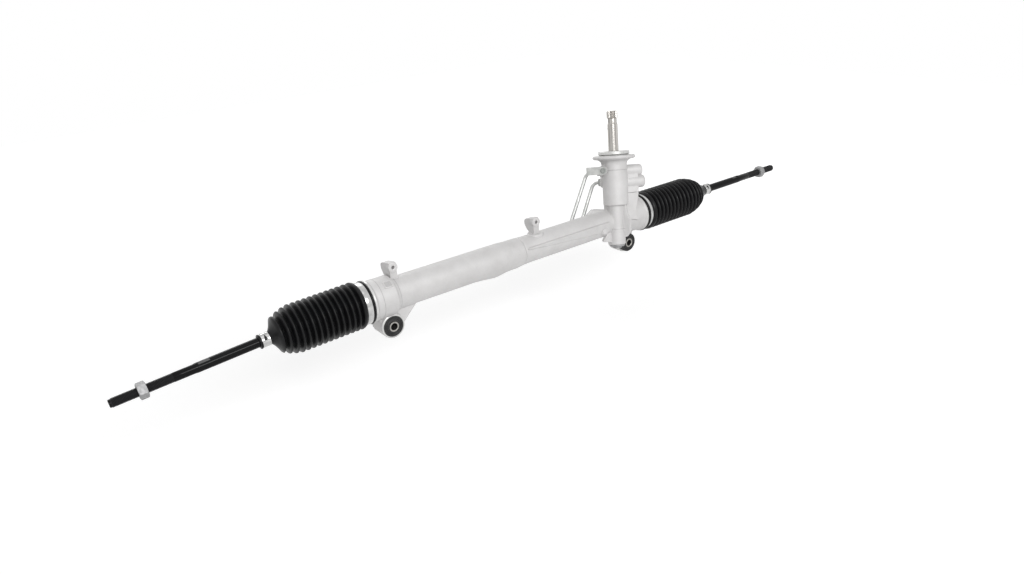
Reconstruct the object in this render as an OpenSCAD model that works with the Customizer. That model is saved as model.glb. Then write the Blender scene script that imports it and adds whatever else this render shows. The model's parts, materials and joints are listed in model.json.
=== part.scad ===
// Power steering rack with inner tie rods, boots and a rubber bushed two bolt mounting.
// The origin is the centre of the left mounting bolt hole. X runs along the rack towards
// the pinion, Y runs along the mounting bolts away from the valve tower, and Z is up.

/* [Mounting] */
// Distance between the two mounting bolts
mount_span = 460; // [445:1:500]
// Height of the rack axis above the mounting bolts
rack_height = 41.5; // [40:0.5:48]
// Diameter of the bolt hole in each mounting sleeve
bolt_hole_d = 10.5; // [8.5:0.5:12]
// Wall of the mounting sleeve
sleeve_wall = 2.9; // [1.8:0.1:3.4]
// Length of the mounting sleeve
sleeve_length = 37; // [34.5:0.5:44]
// Outer diameter of the rubber bush
bush_d = 31.2; // [29:0.2:33]
// Length of the rubber bush
bush_length = 34; // [32.5:0.5:36]
// Length of the cast eye round each bush
eye_length = 32; // [28:1:33]
// Wall of the cast eye
eye_wall = 2.6; // [2:0.1:3.5]

/* [Housing] */
// Distance from the left mounting bolt to the left boot seat
left_seat = 30.5; // [28:0.5:36]
// Distance from the right mounting bolt to the right boot seat
right_seat = 37; // [34:0.5:44]
// Length of the spigot that each boot fits over
spigot_length = 13; // [12:0.5:16]
// Outer diameter of the boot spigot
spigot_d = 56.6; // [54:0.2:58]
// Outer diameter of the collar beside each boot
collar_d = 62; // [60:0.5:66]
// Outer diameter of the thick left end of the housing
end_d = 58; // [56:0.5:60]
// Outer diameter of the hydraulic cylinder
cylinder_d = 47; // [45.5:0.5:52]
// Bore of the hydraulic cylinder
cylinder_bore = 39; // [37:0.5:41]
// Length of the hydraulic cylinder bore
cylinder_length = 198; // [190:1:210]
// Distance from the left boot seat to the start of the cylinder bore
cylinder_inset = 50; // [49:0.5:56]
// Outer diameter of the rack tube beside the pinion
tube_d = 43.4; // [42:0.2:46]
// Length of the spigot that joins the two castings
joint_length = 20; // [18:0.5:26]
// Clear bore round the toothed part of the rack
tube_bore = 29; // [27:0.5:32]

/* [Rack and pinion] */
// Diameter of the rack bar
rack_d = 24; // [22:0.5:24.5]
// Travel of the rack from stop to stop
travel = 146; // [130:1:150]
// Distance of the rack from its middle place, towards the pinion end
rest_shift = 18; // [0:1:20]
// Distance that each rack stop lies inside its boot seat
stop_inset = 3; // [2:0.5:5]
// Number of pinion teeth
pinion_teeth = 8; // [8:1:8]
// Tooth module square to the pinion axis
tooth_module = 1.9; // [1.8:0.05:1.95]
// Pressure angle of the teeth
pressure_angle = 25; // [24:1:26]
// Distance between the pinion axis and the rack axis
pinion_offset = 15; // [14.8:0.1:15.2]
// Side play between the teeth
mesh_play = 0.12; // [0.06:0.02:0.2]
// Angle of the pinion axis towards the right end, seen from the front
skew = 8; // [6:0.5:10]
// Angle of the pinion axis away from the front, seen from the end
lean = 11; // [8:0.5:13]
// Distance of the pinion from the right mounting bolt
pinion_inset = 25.5; // [25:0.5:30]
// Length of the toothed part of the pinion
pinion_face = 32; // [28:1:34]

/* [Valve tower] */
// Outer diameter of the valve tower
tower_d = 41.6; // [40:0.2:46]
// Height of the flange top above the rack axis, along the pinion axis
tower_top = 109.8; // [104:0.2:114]
// Depth of the tower foot below the rack axis, along the pinion axis
tower_foot = 38.5; // [37.5:0.5:44]
// Outer diameter of the tower foot
foot_d = 28; // [27:0.2:30]
// Diameter of the flange at the top of the tower
flange_d = 70.5; // [60:0.5:74]
// Thickness of the flange
flange_t = 6.5; // [5:0.25:8]
// Diameter of the top cap
cap_d = 52; // [48:0.5:56]
// Thickness of the rim of the top cap
cap_t = 5.6; // [4:0.1:6.5]
// Bore for the valve sleeve
valve_bore = 33; // [31:0.5:34]
// Length of the valve sleeve
valve_length = 46; // [40:0.5:48]

/* [Input shaft] */
// Diameter of the input shaft
shaft_d = 17; // [16:0.1:18]
// Diameter over the serrations of the input shaft
serration_d = 17.9; // [17:0.1:19]
// Number of serrations
serrations = 36; // [24:1:40]
// Height of the shaft end above the rack axis, along the pinion axis
shaft_top = 182; // [170:1:190]
// Length of the serrated end
serration_length = 12.5; // [10:0.5:16]
// Twist of the input shaft against the pinion, each way
valve_twist = 4; // [3:0.5:5]

/* [Tie rods] */
// Diameter of the tie rod
rod_d = 13.2; // [12.6:0.1:14]
// Diameter of the tie rod thread
thread_d = 12; // [10:1:12]
// Length from ball centre to rod end
rod_length = 259; // [250:1:300]
// Length of the thread
thread_length = 77; // [60:1:90]
// Diameter of the ball
ball_d = 24; // [22:0.5:25]
// Distance from rack end to ball centre
joint_reach = 27; // [26:0.5:32]
// Outer diameter of the inner ball joint
joint_d = 33; // [32.5:0.25:34]
// Angle that the left rod hangs below the rack axis at rest
left_droop = 4.4; // [0:0.2:8]
// Swing of a tie rod each way from the rack axis
rod_swing = 20; // [15:1:20]
// Distance across the flats of the lock nut
nut_flats = 19; // [17:1:22]
// Thickness of the lock nut
nut_t = 11; // [8:0.5:13]
// Free thread beyond the lock nut
thread_free = 33; // [25:1:45]

/* [Boots] */
// Outer diameter of the boot folds
boot_d = 67.8; // [65:0.2:72]
// Depth of a boot fold
fold_depth = 6; // [4:0.5:7]
// Number of boot folds
folds = 15; // [10:1:16]
// Wall of the boot, measured square to the rack
boot_wall = 1.7; // [1.4:0.1:2]
// Distance from ball centre to the small boot clamp
small_clamp_at = 64; // [58:1:72]
// Width of the large boot clamp
big_clamp_w = 10; // [8:0.5:10.5]
// Width of the small boot clamp
small_clamp_w = 9; // [7:0.5:10]

/* [Pipes and ports] */
// Outer diameter of the feed pipes
pipe_d = 6.2; // [5:0.2:7]
// Bend radius of the feed pipes
pipe_bend = 12; // [10:1:14]
// Diameter of the thread core in the return port
upper_port_d = 12.5; // [10:0.5:13]
// Diameter of the thread core in the supply port
lower_port_d = 14.5; // [12:0.5:15]
// Depth of the two hose ports
port_depth = 14; // [10:0.5:18]
// Thread core of the two bracket lugs
lug_hole_d = 5; // [4:0.25:6]

/* [Hidden] */
$fn = 64;
LEFT = -1;
RIGHT = 1;
run_fit = 0.05;
press_fit = 0.02;
air_gap = 0.3;

cast_colour = "gainsboro";
steel_colour = "silver";
dark_steel = "dimgray";
rod_colour = [0.08, 0.08, 0.09];
rubber_colour = [0.12, 0.12, 0.13];
bronze_colour = "peru";
resin_colour = "ivory";
pipe_colour = [0.62, 0.65, 0.62];

// Places along the rack axis
left_seat_x = -left_seat;
right_seat_x = mount_span + right_seat;
seat_span = right_seat_x - left_seat_x;
mid_x = (left_seat_x + right_seat_x) / 2;
stop_gap = 0.5;
rack_length = seat_span + travel - 2 * stop_inset + 2 * stop_gap;
rack_mid_x = mid_x + rest_shift;
pinion_x = mount_span - pinion_inset;
cylinder_x = left_seat_x + cylinder_inset;
cylinder_end_x = cylinder_x + cylinder_length;
joint_x = cylinder_end_x + joint_length;
piston_x = cylinder_x + cylinder_length / 2 + rest_shift;
rack_r = rack_d / 2;
spigot_r = spigot_d / 2;
collar_r = collar_d / 2;
tube_r = tube_d / 2;
cylinder_r = cylinder_d / 2;
eye_r = bush_d / 2 + eye_wall;
function ball_x(side) = rack_mid_x + side * (rack_length / 2 + joint_reach);
function droop(side) = side == LEFT ? left_droop : 0;
function seat_x(side) = side == LEFT ? left_seat_x : right_seat_x;
function mount_x(side) = side == LEFT ? 0 : mount_span;

// Moves children so that their Z axis runs along the rack, outward on the given side
module outward(side, x, drop = 0) {
    translate([x, 0, rack_height])
        rotate([0, side * (90 + drop), 0])
            children();
}

// Moves children so that their Z axis runs along the tie rod, from the ball centre
module along_rod(side) {
    outward(side, ball_x(side), droop(side)) children();
}

// Moves children so that their Z axis is the pinion axis, level with the rack axis at zero
module tower() {
    lean_frame()
        translate([0, -pinion_offset, 0])
            rotate([0, skew, 0])
                children();
}

// The frame at the rack axis that leans back with the valve tower
module lean_frame() {
    translate([pinion_x, 0, rack_height])
        rotate([-lean, 0, 0])
            children();
}

// A ring about Z, from z0 to z1
module ring(outer_r, inner_r, z0, z1) {
    translate([0, 0, z0])
        difference() {
            cylinder(r = outer_r, h = z1 - z0);
            translate([0, 0, -1]) cylinder(r = inner_r, h = z1 - z0 + 2);
        }
}

// A solid of revolution about Z from [height, radius] points, closed along the axis
module turned(points) {
    last = points[len(points) - 1];
    rotate_extrude()
        polygon(concat([[0, points[0][0]]], [for (p = points) [p[1], p[0]]], [[0, last[0]]]));
}

// A hexagon bar about Z
module hexagon(flats, h) {
    rotate([0, 0, 30]) cylinder(d = flats / cos(30), h = h, $fn = 6);
}

// A hexagon nut about Z with both ends turned to a chamfer, from z = 0
module hex_nut(flats, h, bore_d) {
    corner_r = flats / cos(30) / 2;
    face_r = flats / 2 - 0.4;
    chamfer = (corner_r - face_r) * tan(30);
    difference() {
        intersection() {
            hexagon(flats, h);
            turned([[0, face_r], [chamfer, corner_r], [h - chamfer, corner_r], [h, face_r]]);
        }
        translate([0, 0, -1]) cylinder(d = bore_d, h = h + 2);
    }
}

// Mounting eyes and their rubber bushes

eye_bore_r = bush_d / 2 + press_fit;
sleeve_d = bolt_hole_d + 2 * sleeve_wall;
right_eye_front = 8;

module at_mount(side) {
    translate([mount_x(side), 0, 0]) rotate([90, 0, 0]) children();
}

// The right eye stops short of the tower foot in front of it
function eye_front(side) = side == RIGHT ? right_eye_front : eye_length / 2;

module mount_eye(side) {
    at_mount(side)
        turned([
            [-eye_length / 2, eye_r - 1], [-eye_length / 2 + 1, eye_r],
            [eye_front(side) - 1, eye_r], [eye_front(side), eye_r - 1]
        ]);
}

module mount_eye_bore(side) {
    at_mount(side) cylinder(r = eye_bore_r, h = eye_length + 12, center = true);
}

module bush(side) {
    chamfer = 1;
    color(rubber_colour)
        at_mount(side)
            difference() {
                turned([
                    [-bush_length / 2, bush_d / 2 - chamfer], [-bush_length / 2 + chamfer, bush_d / 2],
                    [bush_length / 2 - chamfer, bush_d / 2], [bush_length / 2, bush_d / 2 - chamfer]
                ]);
                cylinder(d = sleeve_d + 2 * press_fit, h = bush_length + 2, center = true);
            }
}

module sleeve(side) {
    color(steel_colour)
        at_mount(side) ring(sleeve_d / 2, bolt_hole_d / 2, -sleeve_length / 2, sleeve_length / 2);
}

module left_bush() { bush(LEFT); }
module right_bush() { bush(RIGHT); }
module left_sleeve() { sleeve(LEFT); }
module right_sleeve() { sleeve(RIGHT); }

// A flat web across the mounting eye and the rack tube, from [x, z] points about the bolt
module web(side, points, thickness, y = 0) {
    translate([mount_x(side), y + thickness / 2, 0])
        rotate([90, 0, 0])
            linear_extrude(height = thickness) polygon(points);
}

// Bracket lugs on top of the castings

lug_r = 7.2;
lug_length = 14;
lug_front_y = -6;
lug_body_w = 11;

// A lug whose arm reaches back over its narrow neck, with the hole in its front face
module lug(x, height, reach) {
    foot = rack_height - height + 15;
    translate([x, lug_front_y, height]) {
        rotate([-90, 0, 0]) cylinder(r = lug_r, h = 8);
        rotate([90, 0, 90])
            translate([0, 0, -lug_body_w / 2])
                linear_extrude(height = lug_body_w)
                    polygon([
                        [0.8, foot], [0.8, 0], [1, 6.4], [5, 6.9], [reach - 4.8, 3], [reach - 1.4, 1],
                        [reach, -2.5], [reach - 0.4, -7], [reach - 4.8, -13.5], [reach - 9.8, -17],
                        [10, foot]
                    ]);
    }
}

// The hole of a lug, blind from the front
module lug_hole(x, height) {
    translate([x, lug_front_y - 1, height])
        rotate([-90, 0, 0])
            cylinder(d = lug_hole_d, h = lug_length + 1);
}

left_lug_x = 16.3;
left_lug_z = rack_height + 40.4;
left_lug_reach = 28;
right_lug_x = joint_x + 34;
right_lug_z = rack_height + 41.2;
right_lug_reach = 25;

// Left casting with the hydraulic cylinder

stop_r = joint_d / 2 + 2;
seal_bore_r = rack_r + 4;
rack_clear_r = rack_r + 0.8;
outer_bush_length = 16;
outer_seal_length = 8;
pipe_port_depth = 7;
pipe_port_r = pipe_d / 2 + 2.6;
pipe_boss_r = pipe_port_r + 3.4;
long_port_x = cylinder_x + 8;
short_port_x = cylinder_end_x - 8;
pipe_boss_reach = cylinder_r + 5;
tower_boss_reach = tower_d / 2 + 3.5;
pipe_nut_hex = 4.5;
pad_x = joint_x - 43;

module pipe_boss(x) {
    translate([x, 0, rack_height]) rotate([-90, 0, 0]) cylinder(r = pipe_boss_r, h = pipe_boss_reach);
}

module pipe_port(x) {
    translate([x, 0, rack_height])
        rotate([-90, 0, 0]) {
            translate([0, 0, pipe_boss_reach - pipe_port_depth])
                cylinder(r = pipe_port_r, h = pipe_port_depth + 1);
            translate([0, 0, cylinder_bore / 2 - 3]) cylinder(d = 3, h = 8);
        }
}

module end_housing() {
    whole = joint_x - left_seat_x;
    color(cast_colour)
        difference() {
            union() {
                outward(RIGHT, left_seat_x)
                    turned([
                        [-spigot_length, spigot_r - 1], [-spigot_length + 1, spigot_r], [1.8, spigot_r],
                        [1.8, collar_r - 0.4], [2.2, collar_r], [5, collar_r], [6.4, end_d / 2 + 0.6],
                        [8, end_d / 2], [38, end_d / 2], [39.6, end_d / 2 - 1.2],
                        [40.2, end_d / 2 - 3], [45, cylinder_r + 0.4], [48, cylinder_r],
                        [whole - 36, cylinder_r], [whole - 25, cylinder_r - 0.9],
                        [whole - 1, cylinder_r - 0.9], [whole - 0.2, cylinder_r - 1.6]
                    ]);
                mount_eye(LEFT);
                web(LEFT, [
                    [-eye_r + 1, 2], [-14.5, rack_height - 20], [32, rack_height - 16],
                    [43, rack_height - 22], [16, -7], [0, 0]
                ], 20);
                lug(left_lug_x, left_lug_z, left_lug_reach);
                translate([pad_x, 0, rack_height])
                    mirror([0, 0, 1])
                        cylinder(r1 = 20, r2 = 16, h = cylinder_r + 1.6);
                pipe_boss(long_port_x);
                pipe_boss(short_port_x);
                // Raised bare pad on the front of the thick end
                translate([left_seat_x + 29.8, 0, rack_height])
                    rotate([36, 0, 0])
                        translate([-5.8, -5.2, end_d / 2 - 3])
                            cube([11.6, 10.4, 3.6]);
            }
            mount_eye_bore(LEFT);
            lug_hole(left_lug_x, left_lug_z);
            pipe_port(long_port_x);
            pipe_port(short_port_x);
            outward(RIGHT, left_seat_x) {
                translate([0, 0, -spigot_length - 1])
                    cylinder(r = stop_r, h = spigot_length + stop_inset + 1);
                cylinder(r = seal_bore_r, h = stop_inset + outer_bush_length + outer_seal_length);
                cylinder(r = rack_clear_r, h = whole);
                translate([0, 0, cylinder_inset]) cylinder(d = cylinder_bore, h = whole);
            }
        }
}

// Right casting with the valve tower

yoke_r = 13;
yoke_boss_r = 19.5;
yoke_boss_end = 43;
yoke_plug_r = yoke_r + 0.4;
right_stop_t = 12;
right_stop_x = right_seat_x - stop_inset - right_stop_t;
upper_bore_top = tower_top + 1;
// The cap stands in a shallow recess of the flange, whose rim takes the seal
cap_seat = tower_top - 0.5;
pinion_outer_r = tooth_module * pinion_teeth / 2 + 2;
foot_bore_r = pinion_outer_r + 0.8;
lower_bearing_r = 11;
lower_bearing_t = 8;
lower_bearing_z = -pinion_face / 2 - 3 - lower_bearing_t;
bush_z = pinion_face / 2 + 4;
pinion_bush_length = 12;
pinion_bush_r = 11.5;
column_r = 14;
valve_z = bush_z + pinion_bush_length + 3;
step_z = 28.4;
foot_step_z = -12;
upper_port_z = 83.5;
lower_port_z = 64.5;
port_turn = -20;
upper_port_reach = 47.5;
lower_port_reach = 51.5;
upper_port_r = upper_port_d / 2 + 3.4;
lower_port_r = lower_port_d / 2 + 3.3;
long_pipe_z = 84;
short_pipe_z = 66;
pipe_turn = 142;
short_turn = 110;
feed_ports = [[long_pipe_z, pipe_turn], [short_pipe_z, short_turn]];
bracket_z = 86.5;
bracket_side = tower_d / 2 - 0.8;
bracket_face = tower_d / 2 - 1.8;

// Moves children to a port of the tower, with Z pointing out of it
module tower_port(z, turn) {
    tower() translate([0, 0, z]) rotate([0, 0, turn]) rotate([0, 90, 0]) children();
}

module tower_outer() {
    r = tower_d / 2;
    neck = tower_top - flange_t;
    tower()
        turned([
            [-tower_foot, foot_d / 2 - 1.4], [-tower_foot + 1.4, foot_d / 2], [foot_step_z, foot_d / 2],
            [foot_step_z + 0.5, foot_d / 2 - 0.6], [step_z - 1, foot_d / 2 - 0.6], [step_z, r - 0.6],
            [step_z + 0.8, r], [neck - 17.5, r], [neck - 17, r + 0.3], [neck - 8, r + 0.3],
            [neck - 5, r + 1], [neck - 2.6, r + 2.6], [neck - 0.8, r + 5.4], [neck, r + 8],
            [neck + 0.4, flange_d / 2 - 2.2], [neck + 2, flange_d / 2 - 0.4],
            [neck + 3, flange_d / 2], [tower_top - 2.2, flange_d / 2],
            [tower_top - 0.9, flange_d / 2 - 0.6], [tower_top, flange_d / 2 - 2],
            [tower_top, cap_d / 2 + 1], [cap_seat, cap_d / 2 + 0.5]
        ]);
}

module tower_inner() {
    bearing_top = lower_bearing_z + lower_bearing_t;
    tower() {
        translate([0, 0, -tower_foot - 1])
            cylinder(r = lower_bearing_r + press_fit, h = tower_foot + 1 + bearing_top);
        translate([0, 0, -tower_foot + 1]) cylinder(r = foot_bore_r, h = tower_foot + bush_z);
        translate([0, 0, bush_z - 1]) cylinder(r = pinion_bush_r + press_fit, h = pinion_bush_length + 4);
        translate([0, 0, valve_z - 1]) cylinder(d = valve_bore, h = upper_bore_top - valve_z + 2);
    }
}

// A hose port boss about Z with a round shoulder
module port_boss(r, reach) {
    turned([[0, r], [reach - 3, r], [reach - 1, r - 0.9], [reach - 0.2, r - 2.1], [reach, r - 3]]);
}

module port_block() {
    tower_port(upper_port_z, port_turn) port_boss(upper_port_r, upper_port_reach);
    tower_port(lower_port_z, port_turn) port_boss(lower_port_r, lower_port_reach);
    // Wall between the ports and the tower
    tower()
        rotate([0, 0, port_turn])
            translate([8, -8, 47])
                cube([31, 16, 42]);
    // Gusset that carries the port block down to the rack tube
    tower()
        rotate([0, 0, port_turn])
            rotate([90, 0, 0])
                translate([0, 0, -4])
                    linear_extrude(height = 9)
                        polygon([[8, 4], [8, 60], [38, 54], [40, 44], [33, 10], [39, 0]]);
    // Ribs between the gusset and the right collar
    tower()
        for (turn = [-42, -62])
            rotate([0, 0, turn])
                rotate([90, 0, 0])
                    translate([0, 0, -2])
                        linear_extrude(height = 4)
                            polygon([
                                [10, -26], [10, 34], [17, 30], [19, 12], [25, 2], [24, -18], [18, -26]
                            ]);
}

module housing_body() {
    collar_z = right_seat_x - joint_x;
    flare_z = pinion_x - joint_x - 14;
    outward(RIGHT, joint_x)
        turned([
            [-joint_length + 0.5, cylinder_bore / 2 - press_fit], [0.2, cylinder_bore / 2 - press_fit],
            [0.2, tube_r - 0.4], [0.8, tube_r + 0.4], [8, tube_r + 0.3], [11, tube_r],
            [flare_z, tube_r], [flare_z + 20, tube_r + 1.2], [flare_z + 42, tube_r + 4.6],
            [collar_z - 16, tube_r + 6.6], [collar_z - 7, tube_r + 7.2], [collar_z - 5, collar_r],
            [collar_z - 2.2, collar_r], [collar_z - 1.8, collar_r - 0.4], [collar_z - 1.8, spigot_r],
            [collar_z + spigot_length - 1, spigot_r], [collar_z + spigot_length, spigot_r - 1]
        ]);
}

// Long tapered flat on the front of the rack tube
module front_flat() {
    flat_x = joint_x + 4;
    flat_w = pinion_x - 22 - flat_x;
    translate([flat_x, -tube_r - 0.7, rack_height])
        rotate([-90, 0, 0])
            linear_extrude(height = 6)
                polygon([[0, -9.5], [1.5, -7.5], [flat_w, 7], [flat_w, -9]]);
}

// Web and small boss on the left of the tower foot
module foot_web() {
    tower()
        translate([0, 5, 0])
            rotate([90, 0, 0])
                linear_extrude(height = 6)
                    polygon([[-8, -6], [-24, -22], [-29.5, -27], [-30, -30.5], [-27, -32], [-8, -34]]);
    lean_frame() translate([-35, -12, -8]) rotate([90, 0, 0]) cylinder(r1 = 6.5, r2 = 5, h = 8);
}

module pinion_housing() {
    color(cast_colour)
        difference() {
            union() {
                housing_body();
                front_flat();
                tower_outer();
                // Column behind the pinion that joins the tower to the rack tube
                lean_frame()
                    translate([1, -3.5, -8])
                        rotate([0, skew, 0])
                            cylinder(r = column_r, h = step_z + 14);
                lean_frame()
                    rotate([-90, 0, 0])
                        turned([
                            [0, yoke_boss_r], [yoke_boss_end - 1.5, yoke_boss_r],
                            [yoke_boss_end, yoke_boss_r - 1.5]
                        ]);
                port_block();
                mount_eye(RIGHT);
                web(RIGHT, [
                    [-eye_r + 1.5, 4], [-40, rack_height - 24], [-30, rack_height - 12],
                    [18, rack_height - 16], [eye_r - 1.5, 4], [0, 0]
                ], 22, 3);
                foot_web();
                lug(right_lug_x, right_lug_z, right_lug_reach);
                translate([right_lug_x + 1, 0, rack_height]) cylinder(r = 12.5, h = tube_r + 0.6);
                // Ports for the feed pipes on the back of the tower
                for (port = feed_ports)
                    tower_port(port[0], port[1]) cylinder(r = pipe_boss_r, h = tower_boss_reach);
                // Screw boss of the pipe bracket
                at_bracket() translate([0, 0, 8 - bracket_face]) cylinder(r = 6.2, h = bracket_face - 8);
            }
            tower_inner();
            mount_eye_bore(RIGHT);
            lug_hole(right_lug_x, right_lug_z);
            tower_port(upper_port_z, port_turn)
                translate([0, 0, upper_port_reach - port_depth])
                    cylinder(d = upper_port_d, h = port_depth + 1);
            tower_port(lower_port_z, port_turn)
                translate([0, 0, lower_port_reach - port_depth])
                    cylinder(d = lower_port_d, h = port_depth + 1);
            for (port = feed_ports)
                tower_port(port[0], port[1]) {
                    translate([0, 0, tower_boss_reach - pipe_port_depth])
                        cylinder(r = pipe_port_r, h = pipe_port_depth + 1);
                    translate([0, 0, valve_bore / 2 - 2]) cylinder(d = 3, h = 6);
                }
            at_bracket() translate([0, 0, -9]) cylinder(r = bolt_core_r, h = 10);
            outward(RIGHT, joint_x) translate([0, 0, -joint_length]) {
                cylinder(r = seal_bore_r, h = joint_length - 1);
                cylinder(d = tube_bore, h = right_stop_x - joint_x + joint_length - 3);
                cylinder(r = rack_clear_r, h = right_seat_x - joint_x + joint_length);
            }
            outward(RIGHT, right_stop_x) {
                cylinder(r = seal_bore_r, h = right_stop_t + 1);
                translate([0, 0, right_stop_t]) cylinder(r = stop_r, h = spigot_length + stop_inset + 1);
            }
            lean_frame() rotate([-90, 0, 0]) cylinder(r = yoke_r + run_fit, h = yoke_boss_end - 12);
            lean_frame()
                rotate([-90, 0, 0])
                    translate([0, 0, yoke_boss_end - 13])
                        cylinder(r = yoke_plug_r + press_fit, h = 14);
        }
}

// Rack guides and seals

module guide_ring(x, z0, z1) {
    color(bronze_colour) outward(RIGHT, x) ring(seal_bore_r - press_fit, rack_r + run_fit, z0, z1);
}

module seal_ring(x, z0, z1) {
    lip = 1.2;
    color(rubber_colour)
        outward(RIGHT, x)
            difference() {
                ring(seal_bore_r - press_fit, rack_r + run_fit, z0, z1);
                // Hollow behind the sealing lip
                translate([0, 0, z0 - 1]) ring(seal_bore_r - lip, rack_r + lip, 0, (z1 - z0) / 2 + 1);
            }
}

module outer_rack_bush() {
    guide_ring(left_seat_x + stop_inset, 0, outer_bush_length - 0.3);
}

module outer_rack_seal() {
    seal_ring(left_seat_x + stop_inset + outer_bush_length, 0, outer_seal_length);
}

inner_seal_length = 7;
inner_bush_length = 11;

module inner_rack_seal() {
    seal_ring(joint_x - joint_length + 0.6, 0, inner_seal_length);
}

module inner_rack_bush() {
    start = joint_x - joint_length + inner_seal_length;
    guide_ring(start + 0.9, 0, inner_bush_length - 0.9);
}

module right_stop_ring() {
    guide_ring(right_stop_x, 0, right_stop_t);
}

// Rack and pinion teeth

pitch_r = tooth_module * pinion_teeth / 2;
base_r = pitch_r * cos(pressure_angle);
tooth_pitch = PI * tooth_module;
profile_shift = 0.3;
rack_addendum = 0.7 * tooth_module - 0.03;
root_gap = 0.4;
pinion_root_r = pitch_r - rack_addendum - root_gap;
tip_w = pinion_offset - pitch_r + rack_addendum;
root_w = pinion_offset - pinion_outer_r - root_gap;
flank = tan(pressure_angle);
// Width of a pinion tooth on its pitch circle, less half of the play
tooth_w = tooth_module * (PI / 2 + 2 * profile_shift * flank) - mesh_play / 2;
// Width of a rack space on the pitch line, with the other half of the play
space_w = tooth_module * (PI / 2 + 2 * profile_shift * flank) + mesh_play / 2;
mesh_reach = sqrt(pow(pinion_outer_r, 2) - pow(pinion_offset - tip_w, 2)) + 1;
spaces_left = ceil((travel / 2 - rest_shift + mesh_reach) / tooth_pitch);
spaces_right = ceil((travel / 2 + rest_shift + mesh_reach) / tooth_pitch);

function inv(a) = tan(a) - a * PI / 180;
// Half angle of a pinion tooth at radius r, in degrees
function half_tooth(r) =
    tooth_w / (2 * pitch_r) * 180 / PI + (inv(pressure_angle) - inv(acos(min(1, base_r / r)))) * 180 / PI;
flank_steps = 6;
function flank_r(i) = base_r + (pinion_outer_r - base_r) * i / flank_steps;
function polar(r, a) = [r * cos(a), r * sin(a)];
function one_tooth(a) = concat(
    [polar(pinion_root_r, a - half_tooth(base_r))],
    [for (i = [0:flank_steps]) polar(flank_r(i), a - half_tooth(flank_r(i)))],
    [for (i = [flank_steps:-1:0]) polar(flank_r(i), a + half_tooth(flank_r(i)))],
    [polar(pinion_root_r, a + half_tooth(base_r))]
);

// Pinion teeth about Z. One tooth points along +Y, into the rack.
module pinion_teeth_profile() {
    polygon([for (k = [0:pinion_teeth - 1]) each one_tooth(90 + k * 360 / pinion_teeth)]);
}

// One rack space in the plane square to the pinion axis. The rack axis lies at +Y.
module rack_space_profile() {
    pitch_y = pitch_r;
    tip_y = pinion_offset - tip_w;
    root_y = pinion_offset - root_w;
    over = 1.5;
    half_pitch = space_w / 2;
    polygon([
        [-half_pitch - (pitch_y - tip_y + over) * flank, tip_y - over],
        [-half_pitch + (root_y - pitch_y) * flank, root_y],
        [half_pitch - (root_y - pitch_y) * flank, root_y],
        [half_pitch + (pitch_y - tip_y + over) * flank, tip_y - over]
    ]);
}

module rack_bar() {
    end_r = rack_r - 1;
    tooth_zone = (spaces_left + spaces_right + 1) * tooth_pitch / cos(skew);
    zone_start = -(spaces_left + 0.5) * tooth_pitch / cos(skew);
    color(steel_colour)
        difference() {
            outward(RIGHT, rack_mid_x)
                turned([
                    [-rack_length / 2, end_r], [-rack_length / 2 + 1, rack_r],
                    [rack_length / 2 - 1, rack_r], [rack_length / 2, end_r]
                ]);
            // Flat that the teeth are cut in
            lean_frame()
                translate([zone_start, -rack_d - tip_w, -rack_d])
                    cube([tooth_zone, rack_d, 2 * rack_d]);
            tower()
                for (i = [-spaces_left:spaces_right])
                    translate([i * tooth_pitch, 0, i * tooth_pitch * tan(skew)])
                        linear_extrude(height = 2 * rack_d, center = true) rack_space_profile();
            for (side = [LEFT, RIGHT])
                outward(side, rack_mid_x)
                    translate([0, 0, rack_length / 2 - stud_length - 2])
                        cylinder(r = stud_r + press_fit, h = stud_length + 3);
            outward(RIGHT, piston_x)
                for (z = [-piston_t / 2 - 1.6, piston_t / 2 + 0.2])
                    ring(rack_r + 1, rack_r - 0.8, z, z + 1.4);
        }
}

// Piston

piston_t = 12;
piston_r = cylinder_bore / 2 - 0.4;
piston_groove_w = 3;
piston_groove_depth = 2.4;

module piston() {
    color(dark_steel)
        outward(RIGHT, piston_x)
            difference() {
                ring(piston_r, rack_r + press_fit, -piston_t / 2, piston_t / 2);
                ring(
                    piston_r + 1, piston_r - piston_groove_depth,
                    -piston_groove_w / 2, piston_groove_w / 2
                );
            }
}

module piston_ring() {
    color(resin_colour)
        outward(RIGHT, piston_x)
            ring(
                cylinder_bore / 2 - run_fit, piston_r - piston_groove_depth + 0.1,
                -piston_groove_w / 2 + 0.1, piston_groove_w / 2 - 0.1
            );
}

// Yoke that presses the rack against the pinion

yoke_end = 24;
spring_r = 7;
yoke_plug_end = yoke_boss_end + 2;
spring_seat = 15;
yoke_nut_flats = 33;
plug_face = yoke_boss_end - 12.5;

module rack_yoke() {
    color(cast_colour)
        lean_frame()
            difference() {
                rotate([-90, 0, 0]) cylinder(r = yoke_r, h = yoke_end);
                rotate([0, 90, 0]) cylinder(r = rack_r + run_fit, h = 4 * yoke_r, center = true);
                rotate([-90, 0, 0])
                    translate([0, 0, spring_seat])
                        cylinder(r = spring_r + 0.6, h = yoke_end);
                // Ends of the cradle, cut back to clear the tube
                translate([-2 * yoke_r, -1, -2 * yoke_r]) cube([4 * yoke_r, 4, 4 * yoke_r]);
            }
}

module yoke_spring() {
    turns = 4;
    wire_r = 0.9;
    coil_gap = (plug_face + 4 - spring_seat - 2 * wire_r - 0.2) / turns;
    color(dark_steel)
        lean_frame()
            rotate([-90, 0, 0])
                for (k = [0:turns])
                    translate([0, 0, spring_seat + wire_r + 0.1 + k * coil_gap])
                        rotate_extrude() translate([spring_r - wire_r, 0]) circle(r = wire_r, $fn = 20);
}

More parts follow.
